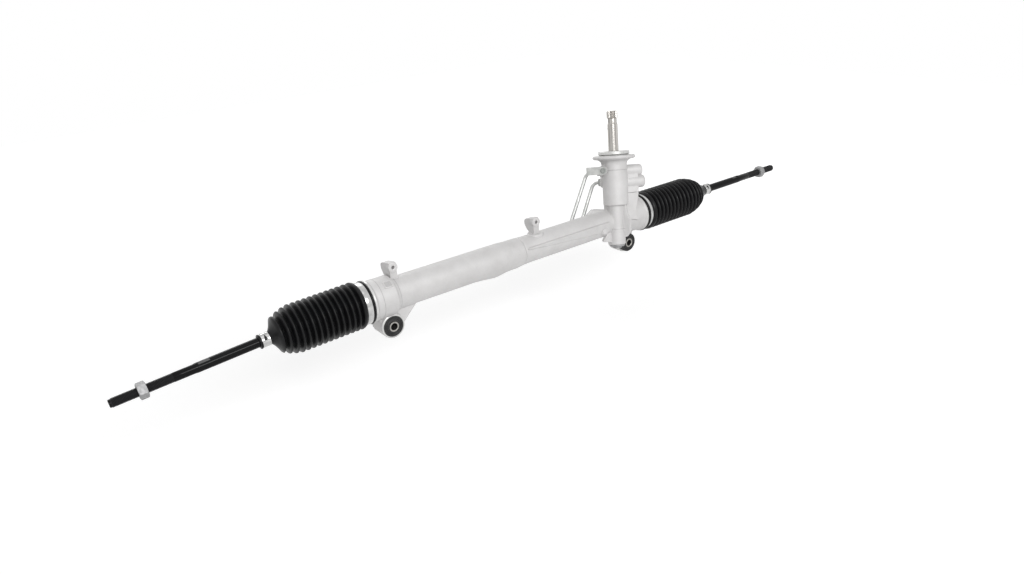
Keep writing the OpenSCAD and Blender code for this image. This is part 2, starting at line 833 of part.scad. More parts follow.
module yoke_plug() {
    color(steel_colour)
        lean_frame()
            rotate([-90, 0, 0])
                difference() {
                    translate([0, 0, plug_face]) cylinder(r = yoke_plug_r, h = yoke_plug_end - plug_face);
                    translate([0, 0, plug_face - 1]) cylinder(r = spring_r + 0.6, h = 5);
                    translate([0, 0, yoke_plug_end - 6]) hexagon(12, 7);
                }
}

module yoke_lock_nut() {
    color(steel_colour)
        lean_frame()
            rotate([-90, 0, 0])
                translate([0, 0, yoke_boss_end + 0.05])
                    hex_nut(yoke_nut_flats, 4.5, 2 * yoke_plug_r + 0.1);
}

// Pinion with its bearings

pinion_neck_r = 4;
pinion_thread_r = 3;
pinion_head_r = pinion_bush_r - 2.4;
pinion_tail = -tower_foot + 1.2;
bar_r = 3;
bar_top = shaft_top - 22;
bar_bottom = bush_z - 2;
sleeve_bore_r = shaft_d / 2 + 1.2;
spool_r = sleeve_bore_r - run_fit;
pinion_cup_top = valve_z + 6;
cup_depth = 12;

module pinion() {
    color(steel_colour)
        tower()
            difference() {
                union() {
                    translate([0, 0, -pinion_face / 2])
                        linear_extrude(height = pinion_face) pinion_teeth_profile();
                    turned([
                        [pinion_tail, pinion_thread_r], [lower_bearing_z, pinion_thread_r],
                        [lower_bearing_z, pinion_neck_r], [-pinion_face / 2 - 3, pinion_neck_r],
                        [-pinion_face / 2 - 3, pinion_root_r], [-pinion_face / 2, pinion_root_r],
                        [bush_z - 1, pinion_root_r], [bush_z, pinion_head_r],
                        [pinion_cup_top, pinion_head_r]
                    ]);
                }
                // Socket of the torsion bar, opening into the cup for the spool end
                translate([0, 0, bar_bottom]) cylinder(r = bar_r + run_fit, h = 40);
                translate([0, 0, pinion_cup_top - cup_depth])
                    cylinder(r = spool_end_r + run_fit, h = cup_depth + 2);
            }
}

spool_end_r = 7.5;

module lower_bearing() {
    ball_r = 2;
    race_mid = (lower_bearing_r + pinion_neck_r) / 2;
    ball_count = 8;
    color(steel_colour)
        tower()
            translate([0, 0, lower_bearing_z]) {
                difference() {
                    ring(lower_bearing_r, race_mid + 1, 0, lower_bearing_t - 0.3);
                    translate([0, 0, lower_bearing_t / 2])
                        rotate_extrude() translate([race_mid, 0]) circle(r = ball_r + 0.1, $fn = 32);
                }
                difference() {
                    ring(race_mid - 1, pinion_neck_r + press_fit, 0, lower_bearing_t - 0.3);
                    translate([0, 0, lower_bearing_t / 2])
                        rotate_extrude() translate([race_mid, 0]) circle(r = ball_r + 0.1, $fn = 32);
                }
                for (k = [0:ball_count - 1])
                    rotate([0, 0, k * 360 / ball_count])
                        translate([race_mid, 0, lower_bearing_t / 2])
                            sphere(r = ball_r);
            }
}

module lower_nut() {
    nut_h = 4.5;
    color(steel_colour)
        tower()
            translate([0, 0, lower_bearing_z - nut_h - 0.2])
                hex_nut(11, nut_h, 2 * pinion_thread_r + 0.1);
}

module lower_plug() {
    cup_r = lower_bearing_r - 0.05;
    color(steel_colour)
        tower()
            difference() {
                union() {
                    turned([
                        [-tower_foot - 3.2, foot_d / 2 - 3], [-tower_foot - 2, foot_d / 2 - 1.6],
                        [-tower_foot - 0.05, foot_d / 2 - 1.6], [-tower_foot - 0.05, cup_r],
                        [-tower_foot + 3.5, cup_r]
                    ]);
                    translate([0, 0, -tower_foot - 6]) hexagon(13, 3);
                }
                translate([0, 0, -tower_foot + 0.5]) cylinder(r = cup_r - 2, h = 6);
            }
}

module pinion_bush() {
    color(bronze_colour)
        tower()
            ring(pinion_bush_r, pinion_head_r + run_fit, bush_z + 0.5, bush_z + pinion_bush_length);
}

// Rotary valve and input shaft

ring_w = 2;

module valve_sleeve() {
    oil_ways = 4;
    color(steel_colour)
        tower()
            difference() {
                ring(valve_bore / 2 - 0.4, pinion_head_r + press_fit, valve_z, valve_z + valve_length);
                translate([0, 0, pinion_cup_top + 0.3]) cylinder(r = sleeve_bore_r, h = valve_length);
                for (k = [0:3])
                    ring(valve_bore, valve_bore / 2 - 2.2, ring_z(k), ring_z(k) + ring_w);
                // Radial oil ways between the ring grooves
                for (k = [0:oil_ways - 1], j = [0:2])
                    rotate([0, 0, (k + 0.3) * 360 / oil_ways])
                        translate([sleeve_bore_r - 2, 0, (ring_z(j) + ring_z(j + 1) + ring_w) / 2])
                            rotate([0, 90, 0])
                                cylinder(r = 1.6, h = valve_bore);
            }
}

function ring_z(k) = valve_z + 3 + k * (valve_length - 6 - ring_w) / 3;

module valve_rings() {
    color(resin_colour)
        tower()
            for (k = [0:3])
                ring(
                    valve_bore / 2 - run_fit, valve_bore / 2 - 2.1,
                    ring_z(k) + 0.1, ring_z(k) + ring_w - 0.1
                );
}

groove_length = 6.5;
shaft_groove_r = serration_d / 2 - 1.6;

module serrated_end(z, h) {
    step = 180 / serrations;
    root_r = serration_d / 2 - 0.7;
    translate([0, 0, z])
        linear_extrude(height = h)
            polygon([
                for (k = [0:2 * serrations - 1]) polar(k % 2 == 0 ? serration_d / 2 : root_r, k * step)
            ]);
}

module input_shaft() {
    serration_z = shaft_top - serration_length;
    groove_z = serration_z - groove_length;
    spool_top = valve_z + valve_length - 1;
    spool_foot = pinion_cup_top - cup_depth + 0.3;
    lands = 6;
    color(steel_colour)
        tower()
            difference() {
                union() {
                    turned([
                        [spool_foot, spool_end_r - 0.4], [spool_foot + 0.4, spool_end_r],
                        [pinion_cup_top + 1, spool_end_r], [pinion_cup_top + 1, spool_r],
                        [spool_top, spool_r], [spool_top, shaft_d / 2], [groove_z - 3, shaft_d / 2],
                        [groove_z, shaft_groove_r], [serration_z, shaft_groove_r]
                    ]);
                    intersection() {
                        serrated_end(serration_z, serration_length);
                        turned([
                            [serration_z, shaft_groove_r], [serration_z + 1.2, serration_d / 2 + 0.1],
                            [shaft_top - 1.2, serration_d / 2 + 0.1], [shaft_top, serration_d / 2 - 1.2]
                        ]);
                    }
                }
                // Bore of the torsion bar
                translate([0, 0, spool_foot - 1]) cylinder(r = bar_r + 0.4, h = bar_top - spool_foot - 14);
                translate([0, 0, spool_foot])
                    cylinder(r = bar_r + press_fit, h = bar_top - spool_foot + 0.3);
                // Oil ways of the spool
                for (k = [0:lands - 1])
                    rotate([0, 0, (k + 0.5) * 360 / lands])
                        translate([spool_r - 0.8, -1.5, pinion_cup_top + 4])
                            cube([2, 3, valve_length - 16]);
                // Cross hole of the torsion bar pin
                across_bar() cylinder(r = pin_r + press_fit, h = shaft_d + 2, center = true);
            }
}

pin_r = 1.5;
pin_turn = 55;

// Moves children to the cross pin of the torsion bar, with Z along the pin
module across_bar() {
    translate([0, 0, bar_top - 6]) rotate([90, 0, pin_turn]) children();
}

module torsion_bar() {
    waist = 0.9;
    color(dark_steel)
        tower()
            difference() {
                turned([
                    [bar_bottom + 0.3, bar_r], [bar_bottom + 9, bar_r], [bar_bottom + 11, bar_r - waist],
                    [bar_top - 14, bar_r - waist], [bar_top - 12, bar_r], [bar_top, bar_r]
                ]);
                across_bar() cylinder(r = pin_r + press_fit, h = shaft_d + 2, center = true);
            }
}

module torsion_pin() {
    color(dark_steel) tower() across_bar() cylinder(r = pin_r, h = shaft_d - 0.8, center = true);
}

bearing_z = tower_top - 9.5;
bearing_t = 7;

module upper_bearing() {
    rollers = 14;
    roller_r = 1.4;
    case_r = valve_bore / 2 - press_fit;
    path_r = shaft_d / 2 + run_fit + roller_r;
    color(steel_colour)
        tower() {
            ring(case_r, path_r + roller_r + 0.05, bearing_z, bearing_z + bearing_t);
            for (k = [0:rollers - 1])
                rotate([0, 0, k * 360 / rollers])
                    translate([path_r, 0, bearing_z + 0.5])
                        cylinder(r = roller_r, h = bearing_t - 1, $fn = 24);
        }
}

module shaft_seal() {
    seal_h = 4;
    seal_r = valve_bore / 2 - 2 * press_fit;
    color(rubber_colour)
        tower()
            difference() {
                ring(seal_r, shaft_d / 2 + run_fit, tower_top - 2.2, tower_top - 2.2 + seal_h);
                translate([0, 0, tower_top - 3]) ring(valve_bore / 2 - 3, shaft_d / 2 + 1.2, 0, 2.6);
            }
}

cap_neck = 1.4;

module top_cap() {
    cap_z = tower_top + cap_neck;
    color(cast_colour)
        tower()
            difference() {
                turned([
                    [cap_seat + 0.05, cap_d / 2 - 3], [cap_z - 0.8, cap_d / 2 - 2.4],
                    [cap_z, cap_d / 2 - 0.6], [cap_z + 0.6, cap_d / 2],
                    [cap_z + cap_t - 0.8, cap_d / 2], [cap_z + cap_t, cap_d / 2 - 0.8]
                ]);
                translate([0, 0, tower_top - 1]) cylinder(d = valve_bore + 0.4, h = 4);
                translate([0, 0, tower_top]) cylinder(r = shaft_d / 2 + 0.5, h = 12);
                // Dished top face round the shaft
                translate([0, 0, cap_z + cap_t - 1.2])
                    ring(cap_d / 2 - 4, shaft_d / 2 + 3, 0, 2);
            }
}

// Inner ball joints

stud_r = 7;
stud_length = 16;
seat_r = ball_d / 2 + 2.3;
seat_top = 5.2;
seat_depth = ball_d / 2 + 2.1;
lip_z = 9.5;
mouth_r = sqrt(pow(ball_d / 2, 2) - pow(seat_top, 2)) + 0.15;

module joint_socket(side) {
    base = -joint_reach;
    r = joint_d / 2;
    color(dark_steel)
        along_rack_end(side)
            difference() {
                union() {
                    turned([
                        [base, r - 1.2], [base + 1.2, r], [2, r], [seat_top + 1, r - 0.9],
                        [lip_z - 1, r - 2.8], [lip_z, r - 3.8]
                    ]);
                    translate([0, 0, base - stud_length]) cylinder(r = stud_r, h = stud_length + 1);
                }
                translate([0, 0, -seat_depth - 0.1]) cylinder(r = seat_r, h = seat_depth + seat_top + 0.2);
                // Mouth that holds the ball in and that the rod swings in
                cylinder(r = mouth_r, h = lip_z + 1);
                // Spanner flats
                for (turn = [0, 180])
                    rotate([0, 0, turn]) translate([r - 1.6, -r, base + 4]) cube([4, 2 * r, 11]);
            }
}

// Moves children to the ball centre, with Z along the rack axis, outward
module along_rack_end(side) {
    outward(side, ball_x(side)) children();
}

module ball_seat(side) {
    color(resin_colour)
        along_rack_end(side)
            difference() {
                translate([0, 0, -seat_depth]) cylinder(r = seat_r - 0.05, h = seat_depth + seat_top);
                sphere(r = ball_d / 2 + run_fit);
            }
}

module left_joint_socket() { joint_socket(LEFT); }
module right_joint_socket() { joint_socket(RIGHT); }
module left_ball_seat() { ball_seat(LEFT); }
module right_ball_seat() { ball_seat(RIGHT); }

// Tie rods

blank_r = thread_d / 2 - 0.35;
thread_z = rod_length - thread_length;
flat_length = 15;
flat_gap = 30;
flat_z = thread_z - flat_gap - flat_length;
flat_w = rod_d - 2.6;
nut_z = rod_length - thread_free - nut_t;
neck_end = 14;
neck_taper = 6;
// The thread under the lock nut is at its pitch line, where rod and nut meet
engaged_r = thread_d / 2 - 0.4;

module tie_rod(side) {
    shank_neck_r = rod_d / 2 - 1;
    nut_seat = [nut_z - 0.5, nut_z + nut_t + 0.5];
    color(rod_colour)
        along_rod(side)
            difference() {
                union() {
                    sphere(r = ball_d / 2);
                    turned([
                        [0, shank_neck_r], [neck_end, shank_neck_r], [neck_end + neck_taper, rod_d / 2],
                        [flat_z + flat_length, rod_d / 2], [flat_z + flat_length + 2, blank_r],
                        [thread_z, blank_r], [thread_z + 1, thread_d / 2],
                        [nut_seat[0], thread_d / 2], [nut_seat[0], engaged_r],
                        [nut_seat[1], engaged_r], [nut_seat[1], thread_d / 2],
                        [rod_length - 1.5, thread_d / 2], [rod_length, thread_d / 2 - 1.5]
                    ]);
                }
                for (turn = [0, 180])
                    rotate([0, 0, turn])
                        translate([flat_w / 2, -rod_d, flat_z])
                            cube([rod_d, 2 * rod_d, flat_length]);
            }
}

module lock_nut(side) {
    color(steel_colour)
        along_rod(side)
            translate([0, 0, nut_z])
                hex_nut(nut_flats, nut_t, 2 * engaged_r + 0.1);
}

module left_tie_rod() { tie_rod(LEFT); }
module right_tie_rod() { tie_rod(RIGHT); }
module left_lock_nut() { lock_nut(LEFT); }
module right_lock_nut() { lock_nut(RIGHT); }

// Boots. Heights along a boot are measured outward from its seat.

cuff_r = spigot_r + air_gap + 1.3;
bead_r = cuff_r + 1.4;
boot_crest_r = boot_d / 2;
first_fold = 17.4;
neck_bore_r = rod_d / 2 + air_gap;
neck_r = neck_bore_r + 1.6;
neck_lip = 6.5;
cone_give = 0.47;
fold_growth = [0, 0, 1.7, 4.4, 8.6];
big_ear_turn = 100;
left_ear_turn = 20;
right_ear_turn = 150;

function clamp_s(side) = side * (ball_x(side) - seat_x(side)) + small_clamp_at * cos(droop(side));
function cone_length(side) = 25 + side * cone_give * rest_shift;
cone_start_r = boot_crest_r - fold_growth[4] - 1.5;
function last_fold(side) = clamp_s(side) - cone_length(side);
function fold_pitch(side) = (last_fold(side) - first_fold) / (folds - 1);
function crest(k) = boot_crest_r - fold_growth[max(0, k - folds + 5)];
function boot_tilt(side) =
    atan(tan(droop(side)) * (1 - (clamp_s(side) - small_clamp_at) / last_fold(side)));

// Points [height, radius] over the folds, less an inset for the inner wall
function fold_points(side, inset) = let (p = fold_pitch(side)) [
    for (k = [0:folds - 1])
        for (q = [[-0.31, 1.9], [-0.15, 0.3], [0.15, 0.3], [0.31, 1.9], [0.5, fold_depth]])
            if (k < folds - 1 || q[0] < 0.5)
                [first_fold + (k + q[0]) * p, crest(k) - q[1] - inset]
];

module boot_cuff(inset, over) {
    outer = [
        [-1.4 - over, bead_r - 0.4], [-1, bead_r], [1, bead_r], [1.4, cuff_r],
        [big_clamp_w + 2.2, cuff_r], [big_clamp_w + 3, cuff_r + 1.6],
        [first_fold - 1, boot_crest_r - 2], [first_fold + 1, boot_crest_r - 2]
    ];
    inner = [
        [-1.4 - over, spigot_r + air_gap], [spigot_length + 1, spigot_r + air_gap],
        [first_fold - 2.4, spigot_r + air_gap], [first_fold + 1, boot_crest_r - 2 - boot_wall]
    ];
    turned(inset == 0 ? outer : inner);
}

module boot_neck(side, inset, over) {
    z = small_clamp_at;
    half = small_clamp_w / 2 + 1;
    turn = z - cone_length(side) + 0.31 * fold_pitch(side) + 0.4;
    inner_r = cone_start_r - boot_wall - 0.2;
    outer = [
        [z - cone_length(side), cone_start_r], [turn, cone_start_r], [z - half - 2, neck_r + 1],
        [z - half, neck_r], [z + half, neck_r], [z + half + 0.6, neck_r + 1.3],
        [z + neck_lip, neck_r + 1.3], [z + neck_lip + 1, neck_r + 0.4]
    ];
    inner = [
        [z - cone_length(side) - 0.5, inner_r], [turn - 0.3, inner_r], [z - half - 2, neck_bore_r],
        [z + neck_lip + 1 + over, neck_bore_r]
    ];
    turned(inset == 0 ? outer : inner);
}

module boot_form(side, inset, over) {
    outward(side, seat_x(side)) boot_cuff(inset, over);
    outward(side, seat_x(side), boot_tilt(side)) turned(fold_points(side, inset));
    along_rod(side) boot_neck(side, inset, over);
}

module boot(side) {
    color(rubber_colour)
        difference() {
            boot_form(side, 0, 0);
            boot_form(side, boot_wall, 1);
        }
}

// A band clamp about Z, centred on z = 0, with its pinched ear at an angle about the axis
module band_clamp(inner_r, width, thickness, ear, turn) {
    ring(inner_r + thickness, inner_r, -width / 2, width / 2);
    rotate([0, 0, turn])
        translate([inner_r + thickness - 0.3, -ear / 2, -width / 2 + 0.8])
            cube([ear * 0.7, ear, width - 1.6]);
}

module big_clamp(side) {
    color(steel_colour)
        outward(side, seat_x(side))
            translate([0, 0, 1.8 + big_clamp_w / 2])
                band_clamp(cuff_r + 0.05, big_clamp_w, 0.8, 3.4, big_ear_turn);
}

module small_clamp(side) {
    ear_turn = side == LEFT ? left_ear_turn : right_ear_turn;
    color(steel_colour)
        along_rod(side)
            translate([0, 0, small_clamp_at])
                band_clamp(neck_r + 0.05, small_clamp_w, 0.8, 2.8, ear_turn);
}

module left_boot() { boot(LEFT); }
module right_boot() { boot(RIGHT); }
module left_big_clamp() { big_clamp(LEFT); }
module right_big_clamp() { big_clamp(RIGHT); }
module left_small_clamp() { small_clamp(LEFT); }
module right_small_clamp() { small_clamp(RIGHT); }

// Feed pipes, run through points with round bends

function unit(v) = v / norm(v);
function bend_angle(a, b, c) = acos(min(1, max(-1, unit(b - a) * unit(c - b))));
function bend_set(a, b, c) = pipe_bend * tan(bend_angle(a, b, c) / 2);

collar_half = 0.6;
collar_rise = 0.12;

// Puts children in a frame given by its three axes
module axes_frame(origin, x, y, z) {
    translate(origin)
        rotate([atan2(y[2], z[2]), -asin(x[2]), atan2(x[1], x[0])])
            children();
}

module straight_run(a, b, r) {
    d = b - a;
    translate(a)
        rotate([0, acos(d[2] / norm(d)), atan2(d[1], d[0])])
            cylinder(r = r, h = norm(d));
}

// A bend at point b, turning in the plane of the three points
module round_bend(a, b, c, r) {
    u = unit(b - a);
    v = unit(c - b);
    angle = bend_angle(a, b, c);
    normal = unit(cross(u, v));
    start = b - u * bend_set(a, b, c);
    side = cross(normal, u);
    centre = start + side * pipe_bend;
    finish = b + v * bend_set(a, b, c);
    axes_frame(centre, -side, u, normal)
        rotate_extrude(angle = angle)
            translate([pipe_bend, 0]) circle(r = r, $fn = 32);
    // Faint collars where the bend meets its straight runs
    straight_run(start - u * collar_half, start + u * collar_half, r + collar_rise);
    straight_run(finish - v * collar_half, finish + v * collar_half, r + collar_rise);
}

module bent_pipe(points, r) {
    last = len(points) - 1;
    for (i = [0:last - 1]) {
        a = points[i];
        b = points[i + 1];
        trim_a = i == 0 ? 0 : bend_set(points[i - 1], a, b);
        trim_b = i == last - 1 ? 0 : bend_set(a, b, points[i + 2]);
        straight_run(a + unit(b - a) * trim_a, b - unit(b - a) * trim_b, r);
    }
    for (i = [1:last - 1]) round_bend(points[i - 1], points[i], points[i + 1], r);
}

// A place in the tower's own frame, as a point of the part
function from_tower(p) = let (
    sx = p[0] * cos(skew) + p[2] * sin(skew),
    sz = -p[0] * sin(skew) + p[2] * cos(skew),
    sy = p[1] - pinion_offset
) [pinion_x + sx, sy * cos(lean) + sz * sin(lean), rack_height - sy * sin(lean) + sz * cos(lean)];

function pipe_out(port, reach) =
    from_tower([reach * cos(port[1]), reach * sin(port[1]), port[0]]);
pipe_start = tower_boss_reach - pipe_port_depth + 0.4;
pipe_end_y = pipe_boss_reach - pipe_port_depth + 0.4;
pipe_out_y = pipe_boss_reach + pipe_nut_hex + 1 + pipe_bend;
long_run_y = tube_r + pipe_d / 2 + 1.2;
long_run_z = rack_height - 14;
short_run_y = long_run_y + pipe_d + 0.8;

long_pipe_points = [
    pipe_out(feed_ports[0], pipe_start), pipe_out(feed_ports[0], tower_d / 2 + 25),
    [pinion_x - 77, long_run_y, long_run_z], [long_port_x + 60, long_run_y, long_run_z],
    [long_port_x + 24, pipe_out_y, rack_height], [long_port_x, pipe_out_y, rack_height],
    [long_port_x, pipe_end_y, rack_height]
];
short_pipe_points = [
    pipe_out(feed_ports[1], pipe_start), pipe_out(feed_ports[1], tower_d / 2 + 20),
    [pinion_x - 36.5, short_run_y, rack_height], [short_port_x + 44, short_run_y, rack_height],
    [short_port_x + 22, pipe_out_y, rack_height], [short_port_x, pipe_out_y, rack_height],
    [short_port_x, pipe_end_y, rack_height]
];

module feed_pipe(points) {
    color(pipe_colour) bent_pipe(points, pipe_d / 2);
}

module long_feed_pipe() { feed_pipe(long_pipe_points); }
module short_feed_pipe() { feed_pipe(short_pipe_points); }

// Flare nut about Z, screwed into a port from its open end
module flare_nut() {
    difference() {
        union() {
            translate([0, 0, 0.6]) cylinder(r = pipe_port_r - 0.05, h = pipe_port_depth - 0.4);
            translate([0, 0, pipe_port_depth + 0.05]) hexagon(2 * pipe_port_r + 1, pipe_nut_hex);
        }
        cylinder(r = pipe_d / 2 + 0.1, h = pipe_port_depth + 8);
    }
}

module pipe_nuts() {
    color(steel_colour) {
        for (port = feed_ports)
            tower_port(port[0], port[1])
                translate([0, 0, tower_boss_reach - pipe_port_depth])
                    flare_nut();
        for (x = [long_port_x, short_port_x])
            translate([x, 0, rack_height])
                rotate([-90, 0, 0])
                    translate([0, 0, pipe_boss_reach - pipe_port_depth])
                        flare_nut();
    }
}

// Bracket that holds the long feed pipe

bolt_core_r = 2.5;
plate_t = 2;
plate_w = 13;
plate_length = 27;
clip_reach = 33;
clip_w = 7;

// Frame on the face of the bracket boss, with Z out of the boss and X down the tower
module at_bracket() {
    tower()
        translate([0, 0, bracket_z])
            rotate([0, 0, pipe_turn - 270])
                translate([bracket_face, -bracket_side, 0])
                    rotate([0, 90, 0])
                        children();
}

module pipe_bracket() {
    color(pipe_colour)
        at_bracket()
            difference() {
                union() {
                    translate([-plate_w / 2, -plate_length, 0.05]) cube([plate_w, plate_length, plate_t]);
                    translate([0, 0, 0.05]) cylinder(d = plate_w, h = plate_t);
                    translate([-plate_w / 2, -plate_length, -7]) cube([plate_w, plate_t, 8]);
                    // Strap and clip round the long feed pipe
                    translate([bracket_z - long_pipe_z, bracket_side - clip_reach, -bracket_face]) {
                        translate([-plate_t / 2, -clip_w / 2, pipe_d / 2 + 0.8])
                            cube([plate_t, clip_w, bracket_face - pipe_d / 2]);
                        rotate([90, 0, 0]) cylinder(r = pipe_d / 2 + 1.6, h = clip_w, center = true);
                    }
                }
                translate([0, 0, -1]) cylinder(r = bolt_core_r + 0.4, h = plate_t + 3);
                translate([bracket_z - long_pipe_z, bracket_side - clip_reach, -bracket_face])
                    rotate([90, 0, 0])
                        cylinder(r = pipe_d / 2 + 0.1, h = clip_w + 2, center = true);
            }
}

module bracket_bolt() {
    color(steel_colour)
        at_bracket()
            difference() {
                union() {
                    translate([0, 0, plate_t + 0.1]) hexagon(7, 3.4);
                    translate([0, 0, plate_t + 0.1]) cylinder(r = 4.6, h = 0.9);
                    translate([0, 0, -8]) cylinder(r = bolt_core_r - 0.05, h = plate_t + 9);
                }
                translate([0, 0, plate_t + 2.4]) cylinder(r = 1.9, h = 2);
            }
}

end_housing();
pinion_housing();
left_bush();
right_bush();
left_sleeve();
right_sleeve();
rack_bar();
piston();
piston_ring();
outer_rack_bush();
outer_rack_seal();
inner_rack_seal();
inner_rack_bush();
right_stop_ring();
rack_yoke();
yoke_spring();
yoke_plug();
yoke_lock_nut();
pinion();
lower_bearing();
lower_nut();
lower_plug();
pinion_bush();
valve_sleeve();
valve_rings();
input_shaft();
torsion_bar();
torsion_pin();
upper_bearing();
shaft_seal();
top_cap();
left_joint_socket();
right_joint_socket();
left_ball_seat();
right_ball_seat();
left_tie_rod();
right_tie_rod();
left_lock_nut();
right_lock_nut();
left_boot();
right_boot();
left_big_clamp();
right_big_clamp();
left_small_clamp();
right_small_clamp();
long_feed_pipe();
short_feed_pipe();
pipe_nuts();
pipe_bracket();
bracket_bolt();
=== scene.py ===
"""Looks of a hydraulic power steering rack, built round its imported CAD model.

The castings are remeshed so that their webs and bosses run into each other as in sand and die
castings, and the boots, tie rods, clamps, bushes and pipes are modelled piece by piece. What is
machined or bought in keeps its CAD shape and gets a finish. Lengths are in millimetres, and the
studio's are in metres.
"""

import json
import logging
import math
from dataclasses import dataclass, field
from enum import Enum
from typing import Iterable, Optional, Sequence, Union

import bpy
import numpy as np
from mathutils import Matrix, Vector

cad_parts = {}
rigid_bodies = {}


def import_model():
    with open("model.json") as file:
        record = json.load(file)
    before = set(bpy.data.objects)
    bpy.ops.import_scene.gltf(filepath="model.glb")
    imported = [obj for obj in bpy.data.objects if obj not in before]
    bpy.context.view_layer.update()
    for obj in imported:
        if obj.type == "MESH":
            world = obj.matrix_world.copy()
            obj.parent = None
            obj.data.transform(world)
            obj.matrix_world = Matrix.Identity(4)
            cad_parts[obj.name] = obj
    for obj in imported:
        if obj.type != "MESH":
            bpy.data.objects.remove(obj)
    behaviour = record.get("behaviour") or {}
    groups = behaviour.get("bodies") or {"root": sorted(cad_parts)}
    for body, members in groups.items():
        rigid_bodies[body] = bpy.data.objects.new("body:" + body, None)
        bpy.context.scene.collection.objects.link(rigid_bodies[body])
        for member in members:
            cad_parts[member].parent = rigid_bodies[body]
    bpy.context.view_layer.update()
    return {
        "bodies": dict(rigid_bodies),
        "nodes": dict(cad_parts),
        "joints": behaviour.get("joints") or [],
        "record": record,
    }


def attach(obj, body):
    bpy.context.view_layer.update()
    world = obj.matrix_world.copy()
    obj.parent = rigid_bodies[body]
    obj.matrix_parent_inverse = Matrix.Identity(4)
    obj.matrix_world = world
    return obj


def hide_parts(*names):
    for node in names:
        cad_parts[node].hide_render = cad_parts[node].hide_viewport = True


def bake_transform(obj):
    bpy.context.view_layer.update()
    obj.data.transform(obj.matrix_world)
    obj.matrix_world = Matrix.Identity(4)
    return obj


MM = 0.001
LOG = logging.getLogger("steering_rack")
Array = np.ndarray
Pair = tuple[float, float]
Profile = Sequence[Pair]
Colour = tuple[float, float, float]
Point = tuple[float, float, float]
Piece = bpy.types.Object
Material = bpy.types.Material
Socket = bpy.types.NodeSocket
WHITE = (1.0, 1.0, 1.0, 1.0)


class Side(Enum):
    """The two ends of the rack."""

    LEFT = -1
    RIGHT = 1

    @property
    def word(self) -> str:
        """The side's name as the CAD nodes spell it."""
        return self.name.lower()


class Slot(Enum):
    """The record's material slots that the modelled pieces use."""

    CASTING = "cast_aluminium"
    ZINC = "zinc_steel"
    BLACK = "black_steel"
    BOOT = "boot_rubber"
    BUSH = "bush_rubber"
    PIPE = "plated_pipe"


# Places


def shift(x: float, y: float, z: float) -> Array:
    """A move by x, y and z millimetres."""
    m = np.eye(4)
    m[:3, 3] = (x, y, z)
    return m


def turn(axis: str, degrees: float) -> Array:
    """A right-handed turn about the X, Y or Z axis."""
    return np.array(Matrix.Rotation(math.radians(degrees), 4, axis))


@dataclass(frozen=True)
class Layout:
    """The rack's main places, as the CAD source has them."""

    rack_height: float = 41.5
    mount_span: float = 460.0
    left_seat: float = -30.5
    right_seat: float = 497.0
    left_ball: float = -110.0
    right_ball: float = 612.5
    left_droop: float = 4.4
    rest_shift: float = 18.0
    pinion_x: float = 434.5
    pinion_offset: float = 15.0
    skew: float = 8.0
    lean: float = 11.0
    small_clamp_at: float = 64.0

    def seat(self, side: Side) -> float:
        """Where the boot on that side meets its casting, along X."""
        return self.left_seat if side is Side.LEFT else self.right_seat

    def ball(self, side: Side) -> float:
        """Where the inner ball joint's centre is, along X."""
        return self.left_ball if side is Side.LEFT else self.right_ball

    def reach(self, side: Side) -> float:
        """How far the ball's centre lies outward of the boot's seat."""
        return side.value * (self.ball(side) - self.seat(side))

    def droop(self, side: Side) -> float:
        """How far the rod hangs below the rack axis at rest, in degrees."""
        return self.left_droop if side is Side.LEFT else 0.0

    def outward(self, side: Side, x: float, drop: float = 0.0) -> Array:
        """A frame on the rack axis whose Z points outward on that side."""
        return shift(x, 0, self.rack_height) @ turn("Y", side.value * (90 + drop))

    def along_rod(self, side: Side) -> Array:
        """The tie rod's frame: origin at the ball centre, Z along the rod."""
        return self.outward(side, self.ball(side), self.droop(side))

    def at_mount(self, side: Side) -> Array:
        """A frame at the mounting bolt whose Z points to the front."""
        x = 0.0 if side is Side.LEFT else self.mount_span
        return shift(x, 0, 0) @ turn("X", 90)

    def tower(self) -> Array:
        """The pinion's frame, which leans with the valve tower: Z is the pinion axis."""
        leaning = shift(self.pinion_x, 0, self.rack_height) @ turn("X", -self.lean)
        return leaning @ shift(0, -self.pinion_offset, 0) @ turn("Y", self.skew)


LAYOUT = Layout()
TOWER_AXIS: Point = (0.139173, 0.188952, 0.972074)
RACK_AXIS: Point = (1, 0, 0)


# Meshes


def around(count: int) -> Array:
    """That many angles round a circle, in radians."""
    return np.linspace(0, 2 * math.pi, count, endpoint=False)


def circle(radius: object, angles: Array, z: object) -> Array:
    """A ring of points about Z, whose radius and height may differ from point to point."""
    height = np.broadcast_to(z, angles.shape)
    return np.stack([radius * np.cos(angles), radius * np.sin(angles), height], 1)


